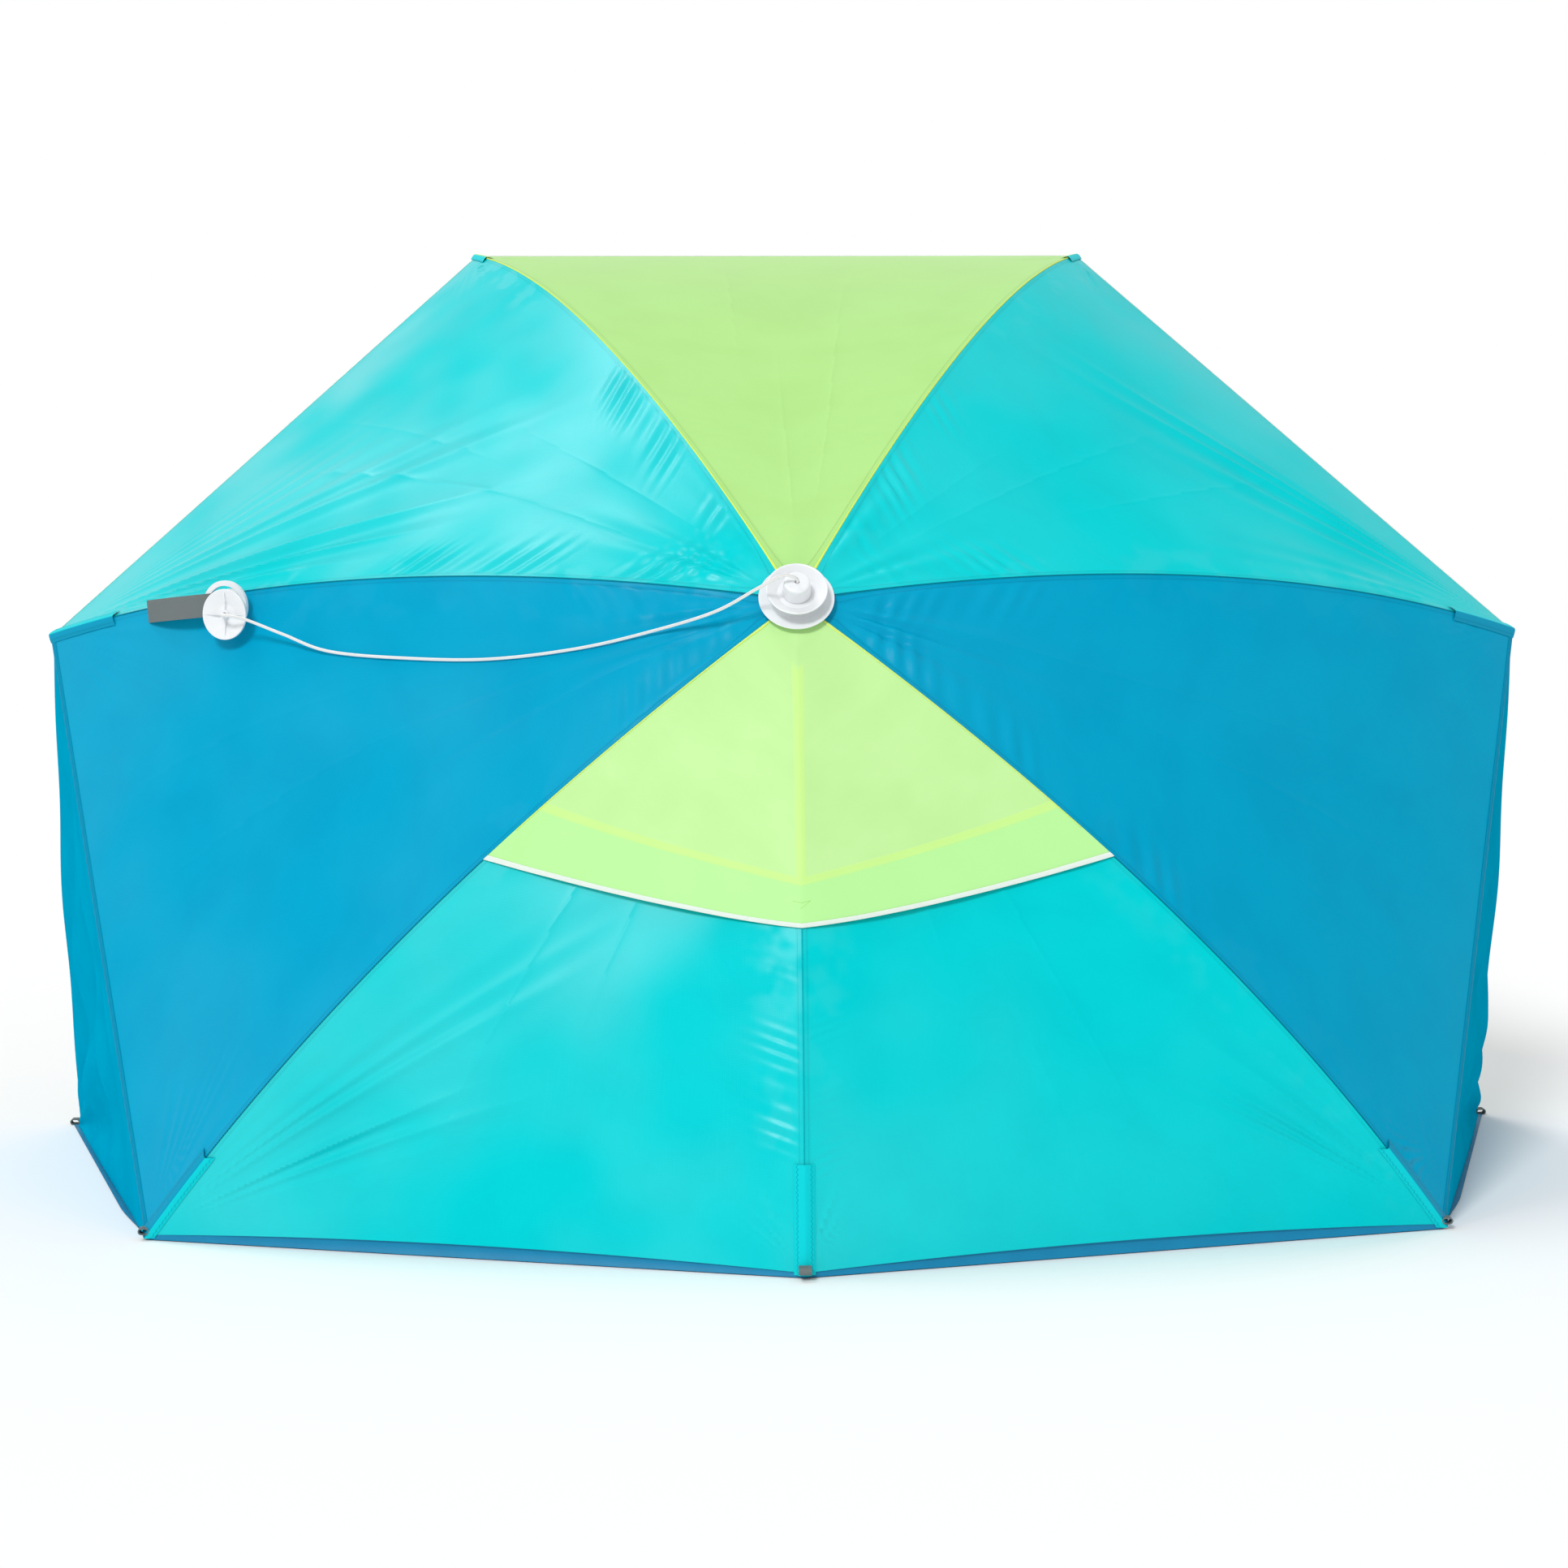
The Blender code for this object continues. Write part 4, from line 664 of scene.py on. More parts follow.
def flap_height(share, across):
    folds = FLAP_FOLD * np.sin(15 * across + 3) * np.sin(9 * share)
    folds += FLAP_RIPPLE * np.sin(31 * across - 14 * share)
    return FLAP_LIFT + (FLAP_BILLOW * np.abs(np.sin(np.pi * across)) + folds * ramp(share, 0.1, 0.4)) * share


def vent_surface(hems, low, high, height=None, start=None):
    """Cloth over the rear gores, from the hub or a width above its hem, down to its hem."""
    def surface(along, beside):
        across = low + (high - low) * beside
        hem = rear_line(hems, across)
        first = 0 if start is None else hem - start / ARC_LENGTH
        share = first + (hem - first) * along
        lift = height(share, across) if height else 0
        if start is not None:
            lift = lift + TAPE_RISE * (1 + np.sin(np.pi * along))
        over_net = (rear_line(MESH_HEM, across) - share) * ARC_LENGTH
        return rear_raised(share, across, lift), across * gore_width(share), over_net
    return surface


net_finish = Finish("vent_net", roughness=0.7, gloss=0.2)
_, net_across, net_along = net_finish.sewn()
net_across, net_along = net_across * NET_PITCH, net_along * NET_PITCH
net_threads = ((net_across + net_along).sine() ** 2).highest((net_across - net_along).sine() ** 2)
net_finish.feed(net_finish.shader.inputs["Alpha"], net_threads.between(0.30, 0.45) * 0.75 + 0.2)
NET = net_finish.grained((0.52, 0.60, 0.56), (0.66, 0.72, 0.68), net_threads, 0.0002)

flap_finish = Finish("lime_flap", roughness=0.42, gloss=0.08)
flap_spot, flap_across, flap_over_net = flap_finish.sewn()
# Painted show-through: where the rear seam and the net's hem lie behind the flap, the light through it is
# painted as a yellower green.
seam_painted_show_through = flap_across.band(0.0, SEAM_BEHIND) * flap_over_net.between(-0.001, 0.001)
net_hem_painted_show_through = flap_over_net.band(-0.002, NET_HEM_BEHIND)
painted_show_through = (seam_painted_show_through * flap_over_net.between(0.41, 0.39)).highest(net_hem_painted_show_through)
lit_through = flap_over_net.between(0.003, -0.012)
tack_bar = abs(flap_across).between(TACK_HALF + THREAD_EDGE, TACK_HALF)
tack_bar = flap_over_net.band(TACK_TOP, TACK_THREAD) * tack_bar
slant = (flap_across * 0.8 - flap_over_net).band(TACK_HALF * 0.8 - TACK_TOP, TACK_THREAD)
slant = slant * flap_over_net.between(TACK_TOP + THREAD_EDGE, TACK_TOP)
slant = slant * flap_over_net.between(TACK_TOP - TACK_HALF, TACK_TOP - TACK_HALF * 0.9)
flap_tack = tack_bar.highest(slant)
flap_mottle = flap_finish.noise(flap_spot, 9.0, 3.0).between(0.35, 0.65) * 0.5
flap_colour = flap_finish.tint((0.52, 0.83, 0.335), (0.47, 0.78, 0.285), flap_mottle)
flap_colour = flap_finish.tint(flap_colour, (0.455, 0.86, 0.32), lit_through * 0.9)
# Painted show-through of the seam and the net's hem behind the flap.
flap_colour = flap_finish.tint(flap_colour, (0.56, 0.86, 0.26), painted_show_through * 0.85)
FLAP = flap_finish.finish(flap_finish.tint(flap_colour, (0.33, 0.66, 0.16), flap_tack * 0.8),
                          flap_finish.noise(flap_spot, 46.0, 2.0) + painted_show_through * 0.5, 0.00022)

tape_finish = Finish("white_tape", roughness=0.55, gloss=0.3)
_, tape_across, tape_along = tape_finish.sewn()
tape_weave = tape_across.wave(TAPE_PITCH) * tape_along.wave(TAPE_PITCH)
tape_colour = tape_finish.tint((0.76, 0.86, 0.78), (0.84, 0.92, 0.86), tape_weave.between(-0.5, 0.5))
TAPE = tape_finish.finish(tape_colour, tape_weave, 0.00012)

# Parts of the vent: name, from and to where across the rear gores, rib, columns, width
VENT_PARTS = (
    ("left", -1, -0.5, 6, 60, 0.19),
    ("centre", -0.5, 0.5, 0, 120, 0.37),
    ("right", 0.5, 1, 1, 60, 0.19),
)
for side, low, high, rib, columns, width in VENT_PARTS:
    net = sewn_piece("vent_net_" + side, vent_surface(MESH_HEM, low, high), 120, columns,
                     NET, rib, "vent_mesh_" + side)
    flap = sewn_piece("vent_flap_cloth_" + side, vent_surface(FLAP_HEM, low, high, flap_height), 160, columns,
                      FLAP, rib, "vent_flap_" + side)
    tape_surface = vent_surface(FLAP_HEM, low, high, flap_height, BINDING_WIDTH)
    hem_tape = sewn_piece("vent_flap_binding_" + side, tape_surface, 8, columns, TAPE, rib)
    flat_size(net, width, VENT_TAPER, rib)
    flat_size(flap, width, VENT_TAPER, rib, with_pieces=(hem_tape,))


# Seams: the gores are felled together over each rib, a dark line between aqua and blue, with a
# yellow piping beside the lime cloth. The dark line is partly its thread and partly painted shade
# of the seam's crevice. Hems of the top and shoulders are bound in narrow white tape.
SEAM_RISE = 0.0003
SEAM_CROWN = 0.0008


def seam_surface(rib, first, last, half_width, rise, crown):
    """A strip over a rib's seam, a little above the cloth and highest along its middle."""
    def surface(along, beside):
        share = first + (last - first) * along
        aside = (2 * beside - 1) * half_width
        across = aside / gore_width(share)
        height = rise + crown * np.cos(np.pi / 2 * np.clip(2 * beside - 1, -1.1, 1.1))
        left = raised((rib - 1) % 7, share, 1 + across, height)
        right = raised(rib % 7, share, across, height)
        place = np.where(across[:, None] < 0, left, right)
        return place, aside, share * ARC_LENGTH * TIP_SHARES[rib % 7]
    return surface


def strip_finish(name, colour, stitch):
    """A narrow sewn strip with a row of stitches along its middle."""
    strip = Finish(name, roughness=0.5, gloss=0.05)
    spot, across, along = strip.sewn()
    stitches = across.band(0.0, 0.0010) * along.wave(0.0036).between(-0.4, 0.2)
    relief = stitches * -1.0 + strip.noise(spot, 60.0, 2.0) * 0.6
    return strip.finish(strip.tint(colour, stitch, stitches), relief, 0.0002)


# Painted shade: the dark and the aqua seam strips are darker than the cloth beside them, partly for their
# thread and partly as painted shade of the seam's crevice.
DARK_SEAM_AND_SHADE = strip_finish("dark_seam_and_painted_shade", (0.0, 0.24, 0.33), (0.0, 0.12, 0.18))
AQUA_SEAM_AND_SHADE = strip_finish("aqua_seam_and_painted_shade", (0.0, 0.50, 0.55), (0.0, 0.38, 0.44))
PIPING = strip_finish("yellow_piping", (0.76, 0.92, 0.15), (0.70, 0.86, 0.13))
# Seam strips: rib, from which share of its reach, half width, cloth, slot
SEAMS = (
    (0, 0.36, 0.0008, AQUA_SEAM_AND_SHADE, "aqua_cloth"),
    (1, 0.0, 0.0010, DARK_SEAM_AND_SHADE, "dark_cloth"),
    (2, 0.0, 0.0010, DARK_SEAM_AND_SHADE, "dark_cloth"),
    (3, 0.0, 0.0009, PIPING, "lime_cloth"),
    (4, 0.0, 0.0009, PIPING, "lime_cloth"),
    (5, 0.0, 0.0010, DARK_SEAM_AND_SHADE, "dark_cloth"),
    (6, 0.0, 0.0010, DARK_SEAM_AND_SHADE, "dark_cloth"),
)
for rib, first, half_width, material, colour_slot in SEAMS:
    surface = seam_surface(rib, first, 1.0, half_width, SEAM_RISE, SEAM_CROWN)
    seam = sewn_piece("seam_" + RIB_NAMES[rib], surface, 300, 6, material, rib)


PIPING_END = 0.41
PIPING_ASIDE = 0.0010
PIPING_WIDTH = 0.0014
PIPING_RISE = 0.0006
PIPING_CROWN = 0.0004
PIPING_GIRTH = 0.0026


def vent_piping_surface(rib):
    """Piping on the flap's edge, which hides the seam beside it."""
    def surface(along, beside):
        share = PIPING_END * along
        across = (PIPING_ASIDE + PIPING_WIDTH * beside) / gore_width(share)
        height = FLAP_LIFT + PIPING_RISE + PIPING_CROWN * np.sin(np.pi * beside)
        place = raised(0, share, 1 - across, height) if rib == 1 else raised(6, share, across, height)
        return place, (beside - 0.5) * PIPING_GIRTH, share * ARC_LENGTH
    return surface


for rib in (1, 6):
    piping = sewn_piece("vent_piping_" + RIB_NAMES[rib], vent_piping_surface(rib), 120, 4, PIPING, rib)

HEM_BINDING = 0.0036
HEM_BEYOND = 0.0004


def hem_surface(index, low, high):
    def surface(along, beside):
        across = low + (high - low) * beside
        share = 1 - HEM_BINDING / ARC_LENGTH * (1 - along) + HEM_BEYOND
        height = wrinkles(index, np.minimum(share, 1), across) + TAPE_RISE * (0.5 + np.sin(np.pi * along))
        return raised(index, share, across, height), along * HEM_BINDING, across * HEM_LENGTH
    return surface


for index, first_half, second_half, *_ in GORES[2:5]:
    for half, low, high, rib in halves(index, first_half, second_half):
        binding = sewn_piece("hem_of_" + half, hem_surface(index, low, high), 6, HALF_COLUMNS, TAPE, rib)


# Pockets: a strip of doubled cloth at the end of each rib holds its tip. It is sewn down along
# both sides with a zigzag stitch.
POCKET_END = 1.004
POCKET_RISE = 0.0008
POCKET_CROWN = 0.0022
POCKET_FOLD = (0.0118, 0.0126)
ZIGZAG_PITCH = 0.0030
ZIGZAG_START = 0.0076
ZIGZAG_THREAD = 0.0011


def pocket_finish(name, near, far):
    """The pocket's cloth changes colour over the rib, as the gores do, and its thread is darker."""
    pocket = Finish(name, roughness=0.5, gloss=0.10)
    spot, across, along = pocket.sewn()
    zigzag = along.sum("PINGPONG", along, ZIGZAG_PITCH) * 0.9
    stitches = (abs(across) - zigzag - ZIGZAG_START).band(0.0, ZIGZAG_THREAD)
    fold = abs(across).between(*POCKET_FOLD)
    shade = pocket.tint(near, far, across.between(-0.0002, 0.0002))
    shade = pocket.tint(shade, (0.0, 0.20, 0.30), stitches * 0.55)
    return pocket.finish(shade, stitches * -1.0 + fold * -0.8 + pocket.noise(spot, 50.0, 2.0) * 0.8, 0.0003)


POCKET_AQUA = (0.0, 0.60, 0.65)
POCKET_BLUE = (0.0, 0.29, 0.47)
POCKET_LIME = (0.46, 0.80, 0.25)
AQUA_POCKET = pocket_finish("aqua_pocket", POCKET_AQUA, POCKET_AQUA)
# Pocket strips: rib, from which share of its reach, half width, cloth, slot
POCKETS = (
    (0, 0.855, 0.0140, AQUA_POCKET, "aqua_cloth"),
    (1, 0.900, 0.0135, pocket_finish("aqua_blue_pocket", POCKET_AQUA, POCKET_BLUE), "aqua_cloth"),
    (2, 0.902, 0.0135, pocket_finish("blue_aqua_pocket", POCKET_BLUE, POCKET_AQUA), "blue_cloth"),
    (3, 0.955, 0.0100, pocket_finish("aqua_lime_pocket", POCKET_AQUA, POCKET_LIME), "lime_cloth"),
    (4, 0.955, 0.0100, pocket_finish("lime_aqua_pocket", POCKET_LIME, POCKET_AQUA), "lime_cloth"),
    (5, 0.902, 0.0135, pocket_finish("shoulder_blue_pocket", POCKET_AQUA, POCKET_BLUE), "blue_cloth"),
    (6, 0.900, 0.0135, pocket_finish("blue_rear_pocket", POCKET_BLUE, POCKET_AQUA), "aqua_cloth"),
)
for rib, first, half_width, material, colour_slot in POCKETS:
    surface = seam_surface(rib, first, POCKET_END, half_width, POCKET_RISE, POCKET_CROWN)
    pocket = sewn_piece("pocket_" + RIB_NAMES[rib], surface, 60, 24, material, rib)


# Wings: two blue triangles close the sides, sewn to the side hems and to the floor's front
# corners. They hang nearly upright and crease down from the side ribs' tips.
CORNER = (1.0287, 0.7965, 0.0026)
CORNER_SPREAD = 0.030
WING_SEAM = 0.0007
WING_TIP_SHARE = 0.022
WING_FOLDS = 3
WING_FOLD_DEPTH = 0.008
WING_CREASE_DEPTH = 0.005
WING_WAVE_DEPTH = 0.002
STRIP_LAP = 0.0035
WING_LOWEST = 0.0018
WING_OFF_HEM = 0.0006
WING_SEAM_LIFT = 0.0004
WING_SEAM_OUT = 0.0022
WING_SEAM_SHARE = 0.0045
WING_SEAM_BULGE = 0.0016
WING_SEAM_PUCKER = 0.0006
WING_SEAM_TAPE = strip_finish("blue_seam", (0.0, 0.25, 0.42), (0.0, 0.20, 0.35))
WING = cloth_finish("wing_polyester", (0.0, 0.35, 0.55), (0.0, 0.27, 0.46), gloss=0.0)


def wing_hem(index, share):
    """Points just beyond a side gore's hem, from its side rib to its rear rib."""
    across = share if index == 5 else 1 - share
    return 2 * raised(index, 1, across, 0) - raised(index, 1 - WING_SEAM / REACH, across, 0)


def wing_share(index, low, high, beside):
    """Share of the hem, counted from the side rib; the left wing's grid runs the other way."""
    return low + (high - low) * (1 - beside if index == 5 else beside)


def wing_surface(index, low, high, corner, ends, facing, chord):
    """A wing's cloth, from a part of its hem down to the ground and the floor's corner."""
    drop = np.linalg.norm(corner - ends[0])

    def surface(along, beside):
        share = WING_TIP_SHARE + (1 - WING_TIP_SHARE) * wing_share(index, low, high, beside)
        grounded = ramp(share, 0.90, 1.0)
        top = wing_hem(index, share)
        bottom = corner - np.outer(share, (0, CORNER_SPREAD, 0))
        flat = top + (bottom - top) * along[:, None]
        from_tip = flat - ends[0]
        away = np.linalg.norm(from_tip, axis=1)
        turn = np.arccos(np.clip(from_tip @ chord / np.maximum(away, 1e-6), -1, 1))
        creases = sharpened(np.sin(24 * turn + 1.5 * np.sin(5 * turn) + index))
        quiet_edges = arch(along) ** 0.6 * ramp(1 - share, 0.02, 0.30) * ramp(share, 0.02, 0.15)
        depth = WING_FOLD_DEPTH * np.cos(2 * np.pi * WING_FOLDS * share) * np.sin(np.pi * along)
        depth += WING_CREASE_DEPTH * creases * ramp(away, 0.02, 0.35) * quiet_edges
        depth += WING_WAVE_DEPTH * np.sin(21 * flat[:, 2] + 9 * share) * np.sin(np.pi * along)
        place = flat + facing * (depth * (1 - grounded) + WING_OFF_HEM)[:, None]
        place[:, 2] += (WING_LOWEST - place[:, 2]) * grounded * ramp(along, 0.0, 0.04)
        return place, share * HEM_LENGTH, along * drop
    return surface


def wing_seam_surface(index, low, high, corner, facing):
    """The strip over a wing's seam, bent round the edge between panel and wing."""
    def surface(along, beside):
        share = wing_share(index, low, high, beside)
        across = share if index == 5 else 1 - share
        on_panel = raised(index, 1 - STRIP_LAP / ARC_LENGTH, across, WING_SEAM_LIFT)
        hem = wing_hem(index, share)
        on_wing = hem + (corner - hem) * WING_SEAM_SHARE + facing * WING_SEAM_OUT
        bulge = raised(index, 1, across, WING_SEAM_BULGE + WING_SEAM_PUCKER * np.sin(260 * share))
        part = along[:, None]
        place = (1 - part) ** 2 * on_panel + 2 * part * (1 - part) * bulge + part ** 2 * on_wing
        return place, (2 * along - 1) * STRIP_LAP, share * HEM_LENGTH
    return surface


for side, hand, index in (("left", -1, 5), ("right", 1, 1)):
    corner = np.array((hand * CORNER[0], CORNER[1], CORNER[2]))
    ends = wing_hem(index, np.array((0.0, 1.0)))
    facing = np.cross(ends[1] - ends[0], corner - ends[0])
    facing *= hand / np.linalg.norm(facing) * np.sign(facing[0])
    chord = (ends[1] - ends[0]) / np.linalg.norm(ends[1] - ends[0])
    for half, low, high, rib in (("upper", 0.0, 0.5, 2), ("lower", 0.5, 1.0, 1)):
        rib = 7 - rib if hand < 0 else rib
        wing = laid_cloth("wing", wing_surface(index, low, high, corner, ends, facing, chord), 200, 130)
        wing = dressed("wing_" + side + "_" + half + "_cloth", wing, WING, "wing_" + side + "_" + half,
                       "wing_" + side + "_" + half)
        anchor = ends[0] if half == "upper" else ends[1]
        "wing_" + side + "_" + half + "_fold"
        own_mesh(wing)
        flat_size(wing, HEM_LENGTH / 2, PANEL_TAPER, rib, held="hung")
        half_seam = wing_seam_surface(index, low, high, corner, facing)
        strip = sewn_piece("wing_seam_" + side + "_" + half, half_seam, 8, 150, WING_SEAM_TAPE, rib)


# Floor: one sheet of coated dark blue cloth lies on the ground between the rear tips and the front
# corners. Its rear edge turns up as a narrow skirt, sewn behind the rear hems.
FLOOR_TOP = 0.0012
FLOOR_RIPPLE = 0.0008
SKIRT_TUCK = 0.006
SKIRT_BEHIND = 0.0016
SKIRT_BELLY = 0.003
SKIRT_SPAN = 1.8
SKIRT_RISE = 0.02
FLOOR_SPREAD = 0.014


def rear_edge(beside):
    """Points on the ground below the rear hems, from the left rear tip to the right one."""
    left, middle, right = (raised(index, 1, np.zeros(1), 0)[0] for index in (6, 0, 1))
    part = np.clip(np.stack([1 - 2 * beside, 2 * beside - 1], axis=-1), -1, 1)
    place = np.where(beside[:, None] < 0.5, middle + (left - middle) * part[:, :1],
                     middle + (right - middle) * part[:, 1:])
    place[:, 2] = FLOOR_TOP
    return place


def floor_surface(along, beside):
    rear = rear_edge(beside)
    front = np.stack([(2 * beside - 1) * CORNER[0], np.full_like(beside, CORNER[1]),
                      np.full_like(beside, FLOOR_TOP)], axis=-1)
    place = rear + (front - rear) * (1 - along)[:, None]
    ripple = np.sin(23 * place[:, 0] + 5 * place[:, 1]) * np.sin(17 * place[:, 1] - 3 * place[:, 0])
    place[:, 2] += FLOOR_RIPPLE * (ripple + 1) * np.clip(arch(along) * arch(beside), 0, 1) ** 0.5
    place[:, 0] *= 1 + FLOOR_SPREAD * ramp(1 - along, 0.0, 0.25)
    return place, place[:, 0], place[:, 1]


def skirt_surface(along, beside):
    ground = rear_edge(beside)
    across = 2 * beside - 1
    hem = rear_raised(1 - SKIRT_TUCK / ARC_LENGTH, across, -SKIRT_BEHIND)
    hem[:, 2] = np.maximum(hem[:, 2], FLOOR_TOP)
    place = ground + (hem - ground) * along[:, None]
    place[:, 1] += SKIRT_BELLY * np.sin(np.pi * along) * np.sin(np.pi * np.abs(across))
    return place, beside * SKIRT_SPAN, along * SKIRT_RISE


floor_cloth = Finish("coated_floor", roughness=0.5, gloss=0.3)
floor_spot = floor_cloth.place()
floor_colour = floor_cloth.tint((0.0, 0.17, 0.32), (0.0, 0.21, 0.38), floor_cloth.noise(floor_spot, 7.0, 4.0))
FLOOR = floor_cloth.finish(floor_colour, floor_cloth.noise(floor_spot, 38.0, 3.0), 0.0006)
skirt_cloth = Finish("skirt_polyester", roughness=0.5, gloss=0.3)
skirt_mottle = skirt_cloth.noise(skirt_cloth.place(), 24.0, 3.0)
SKIRT = skirt_cloth.grained((0.0, 0.19, 0.37), (0.0, 0.24, 0.44), skirt_mottle, 0.0006)

floor_mesh = laid_cloth("floor", floor_surface, 160, 240)
tent_floor = dressed("floor_cloth", floor_mesh, FLOOR, "frame", "ground_sheet")
skirt = dressed("floor_skirt", laid_cloth("skirt", skirt_surface, 8, 240), SKIRT, "frame")
for piece in (tent_floor, skirt):
    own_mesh(piece)


# Peg loops: 15 mm grey webbing, folded flat on itself and bar-tacked at the three rear tips and the
# two front corners. A peg goes through each.
LOOP_HEIGHT = 0.0086
LOOP_WIDTH = 0.015
WEBBING = 0.0015
WARP_PITCH = 0.0013
WEFT_PITCH = 0.0016


def webbing_finish(name, pale, dark):
    webbing = Finish(name, roughness=0.8, gloss=0.25)
    _, across, along = webbing.sewn()
    weave = along.wave(WARP_PITCH) * across.wave(WEFT_PITCH)
    return webbing.finish(webbing.tint(pale, dark, weave.between(-0.7, 0.7)), weave, 0.0003)


def webbing_outline(width):
    return [(across * width / 2, up * WEBBING / 2) for across, up in ((-1, -1), (-1, 1), (1, 1), (1, -1))]


GREY_WEBBING = webbing_finish("grey_webbing", (0.235, 0.27, 0.27), (0.155, 0.18, 0.18))
loop_ends = (LOOP_HEIGHT - WEBBING) / 2
loop_bend = LOOP_HEIGHT / 2
# The five loops: place on the tent, length, seat, way out, way across, body
LOOPS = (
    ("front_left", 0.014, (-1.0302, 0.7890, 0.0043), (-1, 0, 0), (0, 1, 0), "frame"),
    ("front_right", 0.014, (1.0302, 0.7890, 0.0043), (1, 0, 0), (0, 1, 0), "frame"),
    ("rear_left", 0.014, (-0.8090, 0.0033, 0.01165), (-1, 0, 0), (0, 1, 0), "rib_rear_left"),
    ("rear_centre", 0.022, (0, -0.2372, 0.01214), (0, -1, 0), (1, 0, 0), "rib_rear_centre"),
    ("rear_right", 0.014, (0.8090, 0.0033, 0.01165), (1, 0, 0), (0, 1, 0), "rib_rear_right"),
)
for name, loop_length, seat, outwards, across, body in LOOPS:
    path = []
    for end, first in ((loop_length - loop_bend, -math.pi / 2), (loop_bend, math.pi / 2)):
        for step in range(13):
            turn = first + math.pi * step / 12
            reach = end + loop_ends * math.cos(turn)
            path.append(Vector(seat) + Vector(outwards) * reach + Vector((0, 0, loop_ends * math.sin(turn))))
    mesh = swept("loop", path, across, webbing_outline(LOOP_WIDTH), closed=True)
    loop = dressed("peg_loop_webbing_" + name, mesh, GREY_WEBBING, body, "peg_loop_" + name)
    if name.startswith("front"):
        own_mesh(loop)


# Frame: seven black glass-fibre ribs and struts on a steel mast in two telescoping tubes. The
# crown, slider, clamp and ground spike are moulded in white plastic.
def coat(material, *nodes):
    """Gives the frame's own pieces their material."""
    for node in nodes:
        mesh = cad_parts[node].data
        mesh.materials.clear()
        mesh.materials.append(material)


rod_finish = Finish("black_glass_fibre", roughness=0.32, gloss=0.5)
rod_grain = rod_finish.noise(rod_finish.place(), 90.0, 3.0)
ROD = rod_finish.grained((0.012, 0.012, 0.014), (0.035, 0.035, 0.038), rod_grain, 0.00003,
                         rod_grain * 0.2 + 0.25)
DRAWN_LINES = (400.0, 400.0, 6.0)
steel_finish = Finish("brushed_steel", roughness=0.3, gloss=0.5, metallic=1.0)
along_tube = steel_finish.node("ShaderNodeMapping", {}, Vector=steel_finish.place(), Scale=DRAWN_LINES)
steel_grain = steel_finish.noise(along_tube, 1.0, 3.0)
STEEL = steel_finish.grained((0.55, 0.56, 0.57), (0.70, 0.71, 0.72), steel_grain, 0.00002,
                             steel_grain * 0.15 + 0.22)
plastic_finish = Finish("white_plastic", roughness=0.28, gloss=0.5)
plastic_grain = plastic_finish.noise(plastic_finish.place(), 120.0, 2.0)
PLASTIC = plastic_finish.grained((0.80, 0.82, 0.84), (0.84, 0.86, 0.88), plastic_grain, 0.00002,
                                 plastic_grain * 0.1 + 0.22)
coat(ROD, *("rib_" + name for name in RIB_NAMES), *("stretcher_" + name for name in RIB_NAMES))
coat(STEEL, "mast_upper", "mast_lower", "crown_wire")
coat(PLASTIC, "crown", "runner", "runner_button", "clamp_collar", "clamp_knob", "ground_spike",
     "winder_hook")


# Hub: a wide washer spreads the load on the cloth, a dished cap is pressed into the mast through
# it, and a turned knob on top takes the clothesline. All three are glossy white plastic.
def turned(outline, sides=96):
    """Turns an outline of (radius, height) points about the upright axis."""
    form = bmesh.new()
    points = [form.verts.new((radius, 0, height)) for radius, height in outline]
    edges = [form.edges.new(pair) for pair in zip(points, points[1:])]
    if outline[0][0] or outline[-1][0]:
        edges.append(form.edges.new((points[-1], points[0])))
    bmesh.ops.spin(form, geom=points + edges, axis=(0, 0, 1), cent=(0, 0, 0), angle=2 * math.pi, steps=sides,
                   use_merge=True)
    bmesh.ops.remove_doubles(form, verts=form.verts, dist=0.000001)
    bmesh.ops.recalc_face_normals(form, faces=form.faces)
    return mesh_of(form, "turned", sharp_angle=32)


def softened(outline, radius):
    """The outline with its inner corners rounded to a radius, by a few points on each."""
    soft = [outline[0]]
    for corner in zip(outline, outline[1:], outline[2:]):
        before, here, after = (np.array(point) for point in corner)
        to_before, to_after = np.linalg.norm(before - here), np.linalg.norm(after - here)
        reach = min(radius, to_before * 0.45, to_after * 0.45)
        start = here + (before - here) / to_before * reach
        end = here + (after - here) / to_after * reach
        for part in (0, 0.25, 0.5, 0.75, 1):
            soft.append(tuple((1 - part) ** 2 * start + 2 * part * (1 - part) * here + part ** 2 * end))
    return [*soft, outline[-1]]


WASHER = ((0.0128, 0.0005), (0.030, 0.0005), (0.0473, 0.0050), (0.0473, 0.0070), (0.030, 0.0025),
          (0.0128, 0.0025))
CAP = ((0, -0.028), (0.0110, -0.028), (0.0110, 0.0033), (0.020, 0.0033), (0.025, 0.010), (0.0385, 0.024),
       (0.0385, 0.026), (0.0365, 0.026), (0.024, 0.0175), (0, 0.0175))
KNOB = ((0, 0.0178), (0.018, 0.0178), (0.0168, 0.0373), (0.0161, 0.0393), (0.0138, 0.0403), (0.0026, 0.0403),
        (0.0026, 0.0313), (0, 0.0313))
hub_finish = Finish("hub_plastic", roughness=0.25, gloss=0.5, Coat_Weight=0.3, Coat_Roughness=0.15)
hub_grain = hub_finish.noise(hub_finish.place(), 110.0, 2.0)
HUB_PLASTIC = hub_finish.grained((0.77, 0.79, 0.81), (0.82, 0.84, 0.86), hub_grain, 0.00002)
# The hub's three pieces: name, outline, radius of the soft edges
HUB = (("hub_washer", WASHER, 0.0008), ("hub_cap", CAP, 0.0009), ("hub_knob", KNOB, 0.0012))
for name, outline, radius in HUB:
    mesh = turned(softened(outline, radius))
    mesh.transform(UMBRELLA)
    part = dressed(name + "_turned", mesh, HUB_PLASTIC, "frame", name)


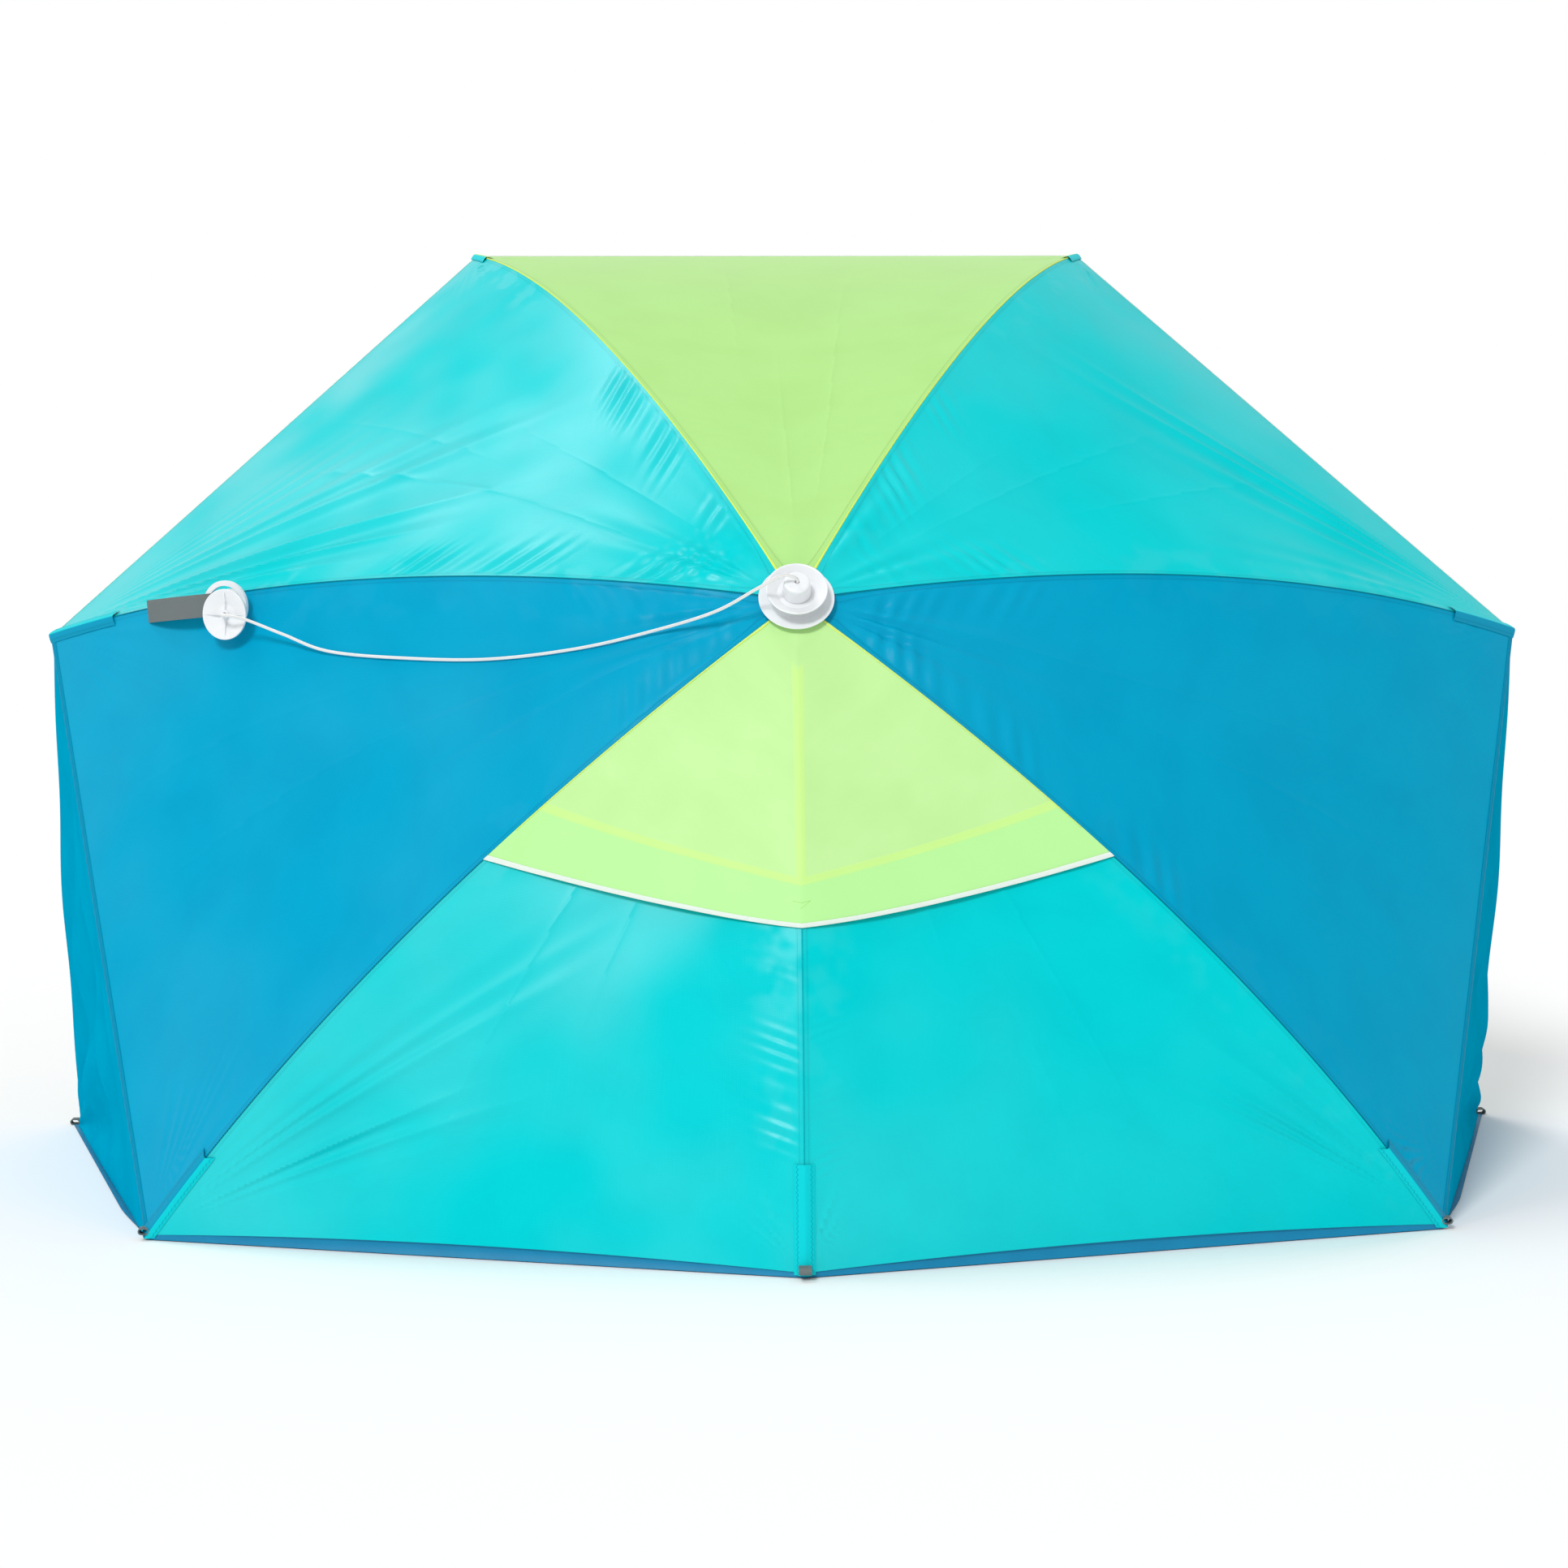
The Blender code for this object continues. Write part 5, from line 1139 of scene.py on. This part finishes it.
# Line winder: a dished spool with four spokes turns on a ring-shaped hook. A doubled strap of grey
# webbing goes round the hook and is sewn into the left side rib's seam.
WINDER = (Matrix.Translation((-0.7359, 0.2599, 0.7686)) @ Matrix.Rotation(math.radians(-25.5), 4, "Z")
          @ Matrix.Rotation(math.pi / 2, 4, "X"))
SPOOL = ((0, -0.0065), (0.0048, -0.0065), (0.0048, -0.016), (0.013, -0.016), (0.013, -0.005),
         (0.0330, 0.0005), (0.0330, 0.004), (0.0312, 0.004), (0.013, -0.002), (0.006, -0.001),
         (0.0055, 0.0032), (0.0026, 0.0032), (0.0026, -0.0035), (0, -0.0035))
SPOKE = ((0.005, -0.0022), (0.0130, -0.0030), (0.0320, 0.0016), (0.0320, 0.0038), (0.024, 0.0034),
         (0.012, 0.0026), (0.005, 0.0030))
SPOKE_WIDTH = 0.0013
spool_mesh = turned(softened(SPOOL, 0.0007))
spool_form = bmesh.new()
spool_form.from_mesh(spool_mesh)
for number in range(4):
    corners = [spool_form.verts.new((reach, -SPOKE_WIDTH / 2, height)) for reach, height in SPOKE]
    spoke = spool_form.faces.new(corners)
    grown = bmesh.ops.extrude_face_region(spool_form, geom=[spoke])["geom"]
    moved = [item for item in grown if isinstance(item, bmesh.types.BMVert)]
    bmesh.ops.translate(spool_form, vec=(0, SPOKE_WIDTH, 0), verts=moved)
    bmesh.ops.rotate(spool_form, cent=(0, 0, 0), matrix=Matrix.Rotation(math.pi * number / 2, 3, "Z"),
                     verts=corners + moved)
bmesh.ops.recalc_face_normals(spool_form, faces=spool_form.faces)
spool_form.to_mesh(spool_mesh)
spool_form.free()
spool_mesh.transform(WINDER)
spool = dressed("winder_spool_turned", spool_mesh, HUB_PLASTIC, "winder_spool", "winder_spool")

STRAP_START = (-0.042, 0.010, -0.0188)
STRAP_SETBACK = 0.0038
STRAP_WIDTH = 0.030
STRAP_LENGTH = 0.118
STRAP_CURL = math.radians(36)
STRAP_BEND = 0.00385
STRAP_SEAM = 0.00105
STRAP_TURN_BACK = -0.012255
STRAP_TILT = math.radians(-5.5)
STRAP_STEPS = 24
strap_away = Vector(WINDER.col[0][:3]) * -1
strap_face = Vector(WINDER.col[2][:3]) * -1
strap_start = WINDER @ Vector(STRAP_START) + strap_away * STRAP_SETBACK
strap_radius = STRAP_LENGTH / STRAP_CURL


def strap_layer(side):
    """One layer of the strap from the hook to its sewn end, as points (away, towards the cloth)."""
    points = []
    for step in range(STRAP_STEPS + 1):
        turn = STRAP_CURL * step / STRAP_STEPS
        reach = strap_radius + side * (STRAP_BEND + (STRAP_SEAM - STRAP_BEND) * step / STRAP_STEPS)
        points.append((reach * math.sin(turn), strap_radius - reach * math.cos(turn)))
    return points


turns = [math.pi * step / 12 for step in range(13)]
round_hook = [(STRAP_TURN_BACK - STRAP_BEND * math.sin(turn), -STRAP_BEND * math.cos(turn)) for turn in turns]
tilt = Matrix.Rotation(STRAP_TILT, 4, strap_face)
strap_path = [strap_start + tilt @ (strap_away * away + strap_face * towards)
              for away, towards in strap_layer(1)[::-1] + round_hook + strap_layer(-1)]
strap_mesh = swept("strap", strap_path, tilt @ Vector((0, 0, 1)), webbing_outline(STRAP_WIDTH))
strap = dressed("winder_strap_webbing", strap_mesh, GREY_WEBBING, "rib_side_left", "winder_strap")


# Studio: a pale floor that runs out to white, a white surround, and two soft lights, from the upper
# left and from overhead.
FLOOR_FADE = (2.2, 4.5)
AMBIENT_LIGHT = 0.56
paper = Finish("studio_paper", roughness=0.9, gloss=0.0, Emission_Strength=1.0)
paper_distance = paper.node("ShaderNodeVectorMath", {"operation": "LENGTH"}, paper.place(), output=1)
paper_far = paper_distance.between(*FLOOR_FADE)
paper.finish(paper.tint((0.97, 0.97, 0.97), (0.0, 0.0, 0.0), paper_far))
paper.feed(paper.shader.inputs["Emission Color"], paper.tint((0.0, 0.0, 0.0), (1.0, 1.0, 1.0), paper_far))
studio = bmesh.new()
bmesh.ops.create_circle(studio, cap_ends=True, segments=64, radius=40)
studio_floor = dressed("studio_floor", mesh_of(studio, "studio_floor"), paper.material, None)

# The two lights: name, strength, width in degrees, where it comes from
LIGHTS = (
    ("upper_left_light", 1.55, 14, (-0.30, -0.72, 0.62)),
    ("overhead_light", 0.6, 24, (-0.36, 0.25, 0.90)),
)
for name, energy, spread, coming_from in LIGHTS:
    sun = bpy.data.lights.new(name, "SUN")
    sun.energy = energy
    sun.angle = math.radians(spread)
    light = added(name, sun)
    light.matrix_world = Vector(coming_from).to_track_quat("Z", "Y").to_matrix().to_4x4()

world = bpy.data.worlds.new("white_surround")
bpy.context.scene.world = world
surround = Nodes(world)
camera_ray, glossy_ray, passing_ray = (
    surround.node("ShaderNodeLightPath", {}, output="Is " + kind + " Ray")
    for kind in ("Camera", "Glossy", "Transmission"))
seen = camera_ray.highest(glossy_ray).highest(passing_ray)
background = surround.tree.nodes["Background"].inputs
surround.feed(background["Strength"],
              surround.node("ShaderNodeMapRange", {}, seen, To_Min=AMBIENT_LIGHT, To_Max=1.0))
surround.feed(background["Color"], (1, 1, 1))
bpy.context.scene.view_settings.view_transform = "Standard"
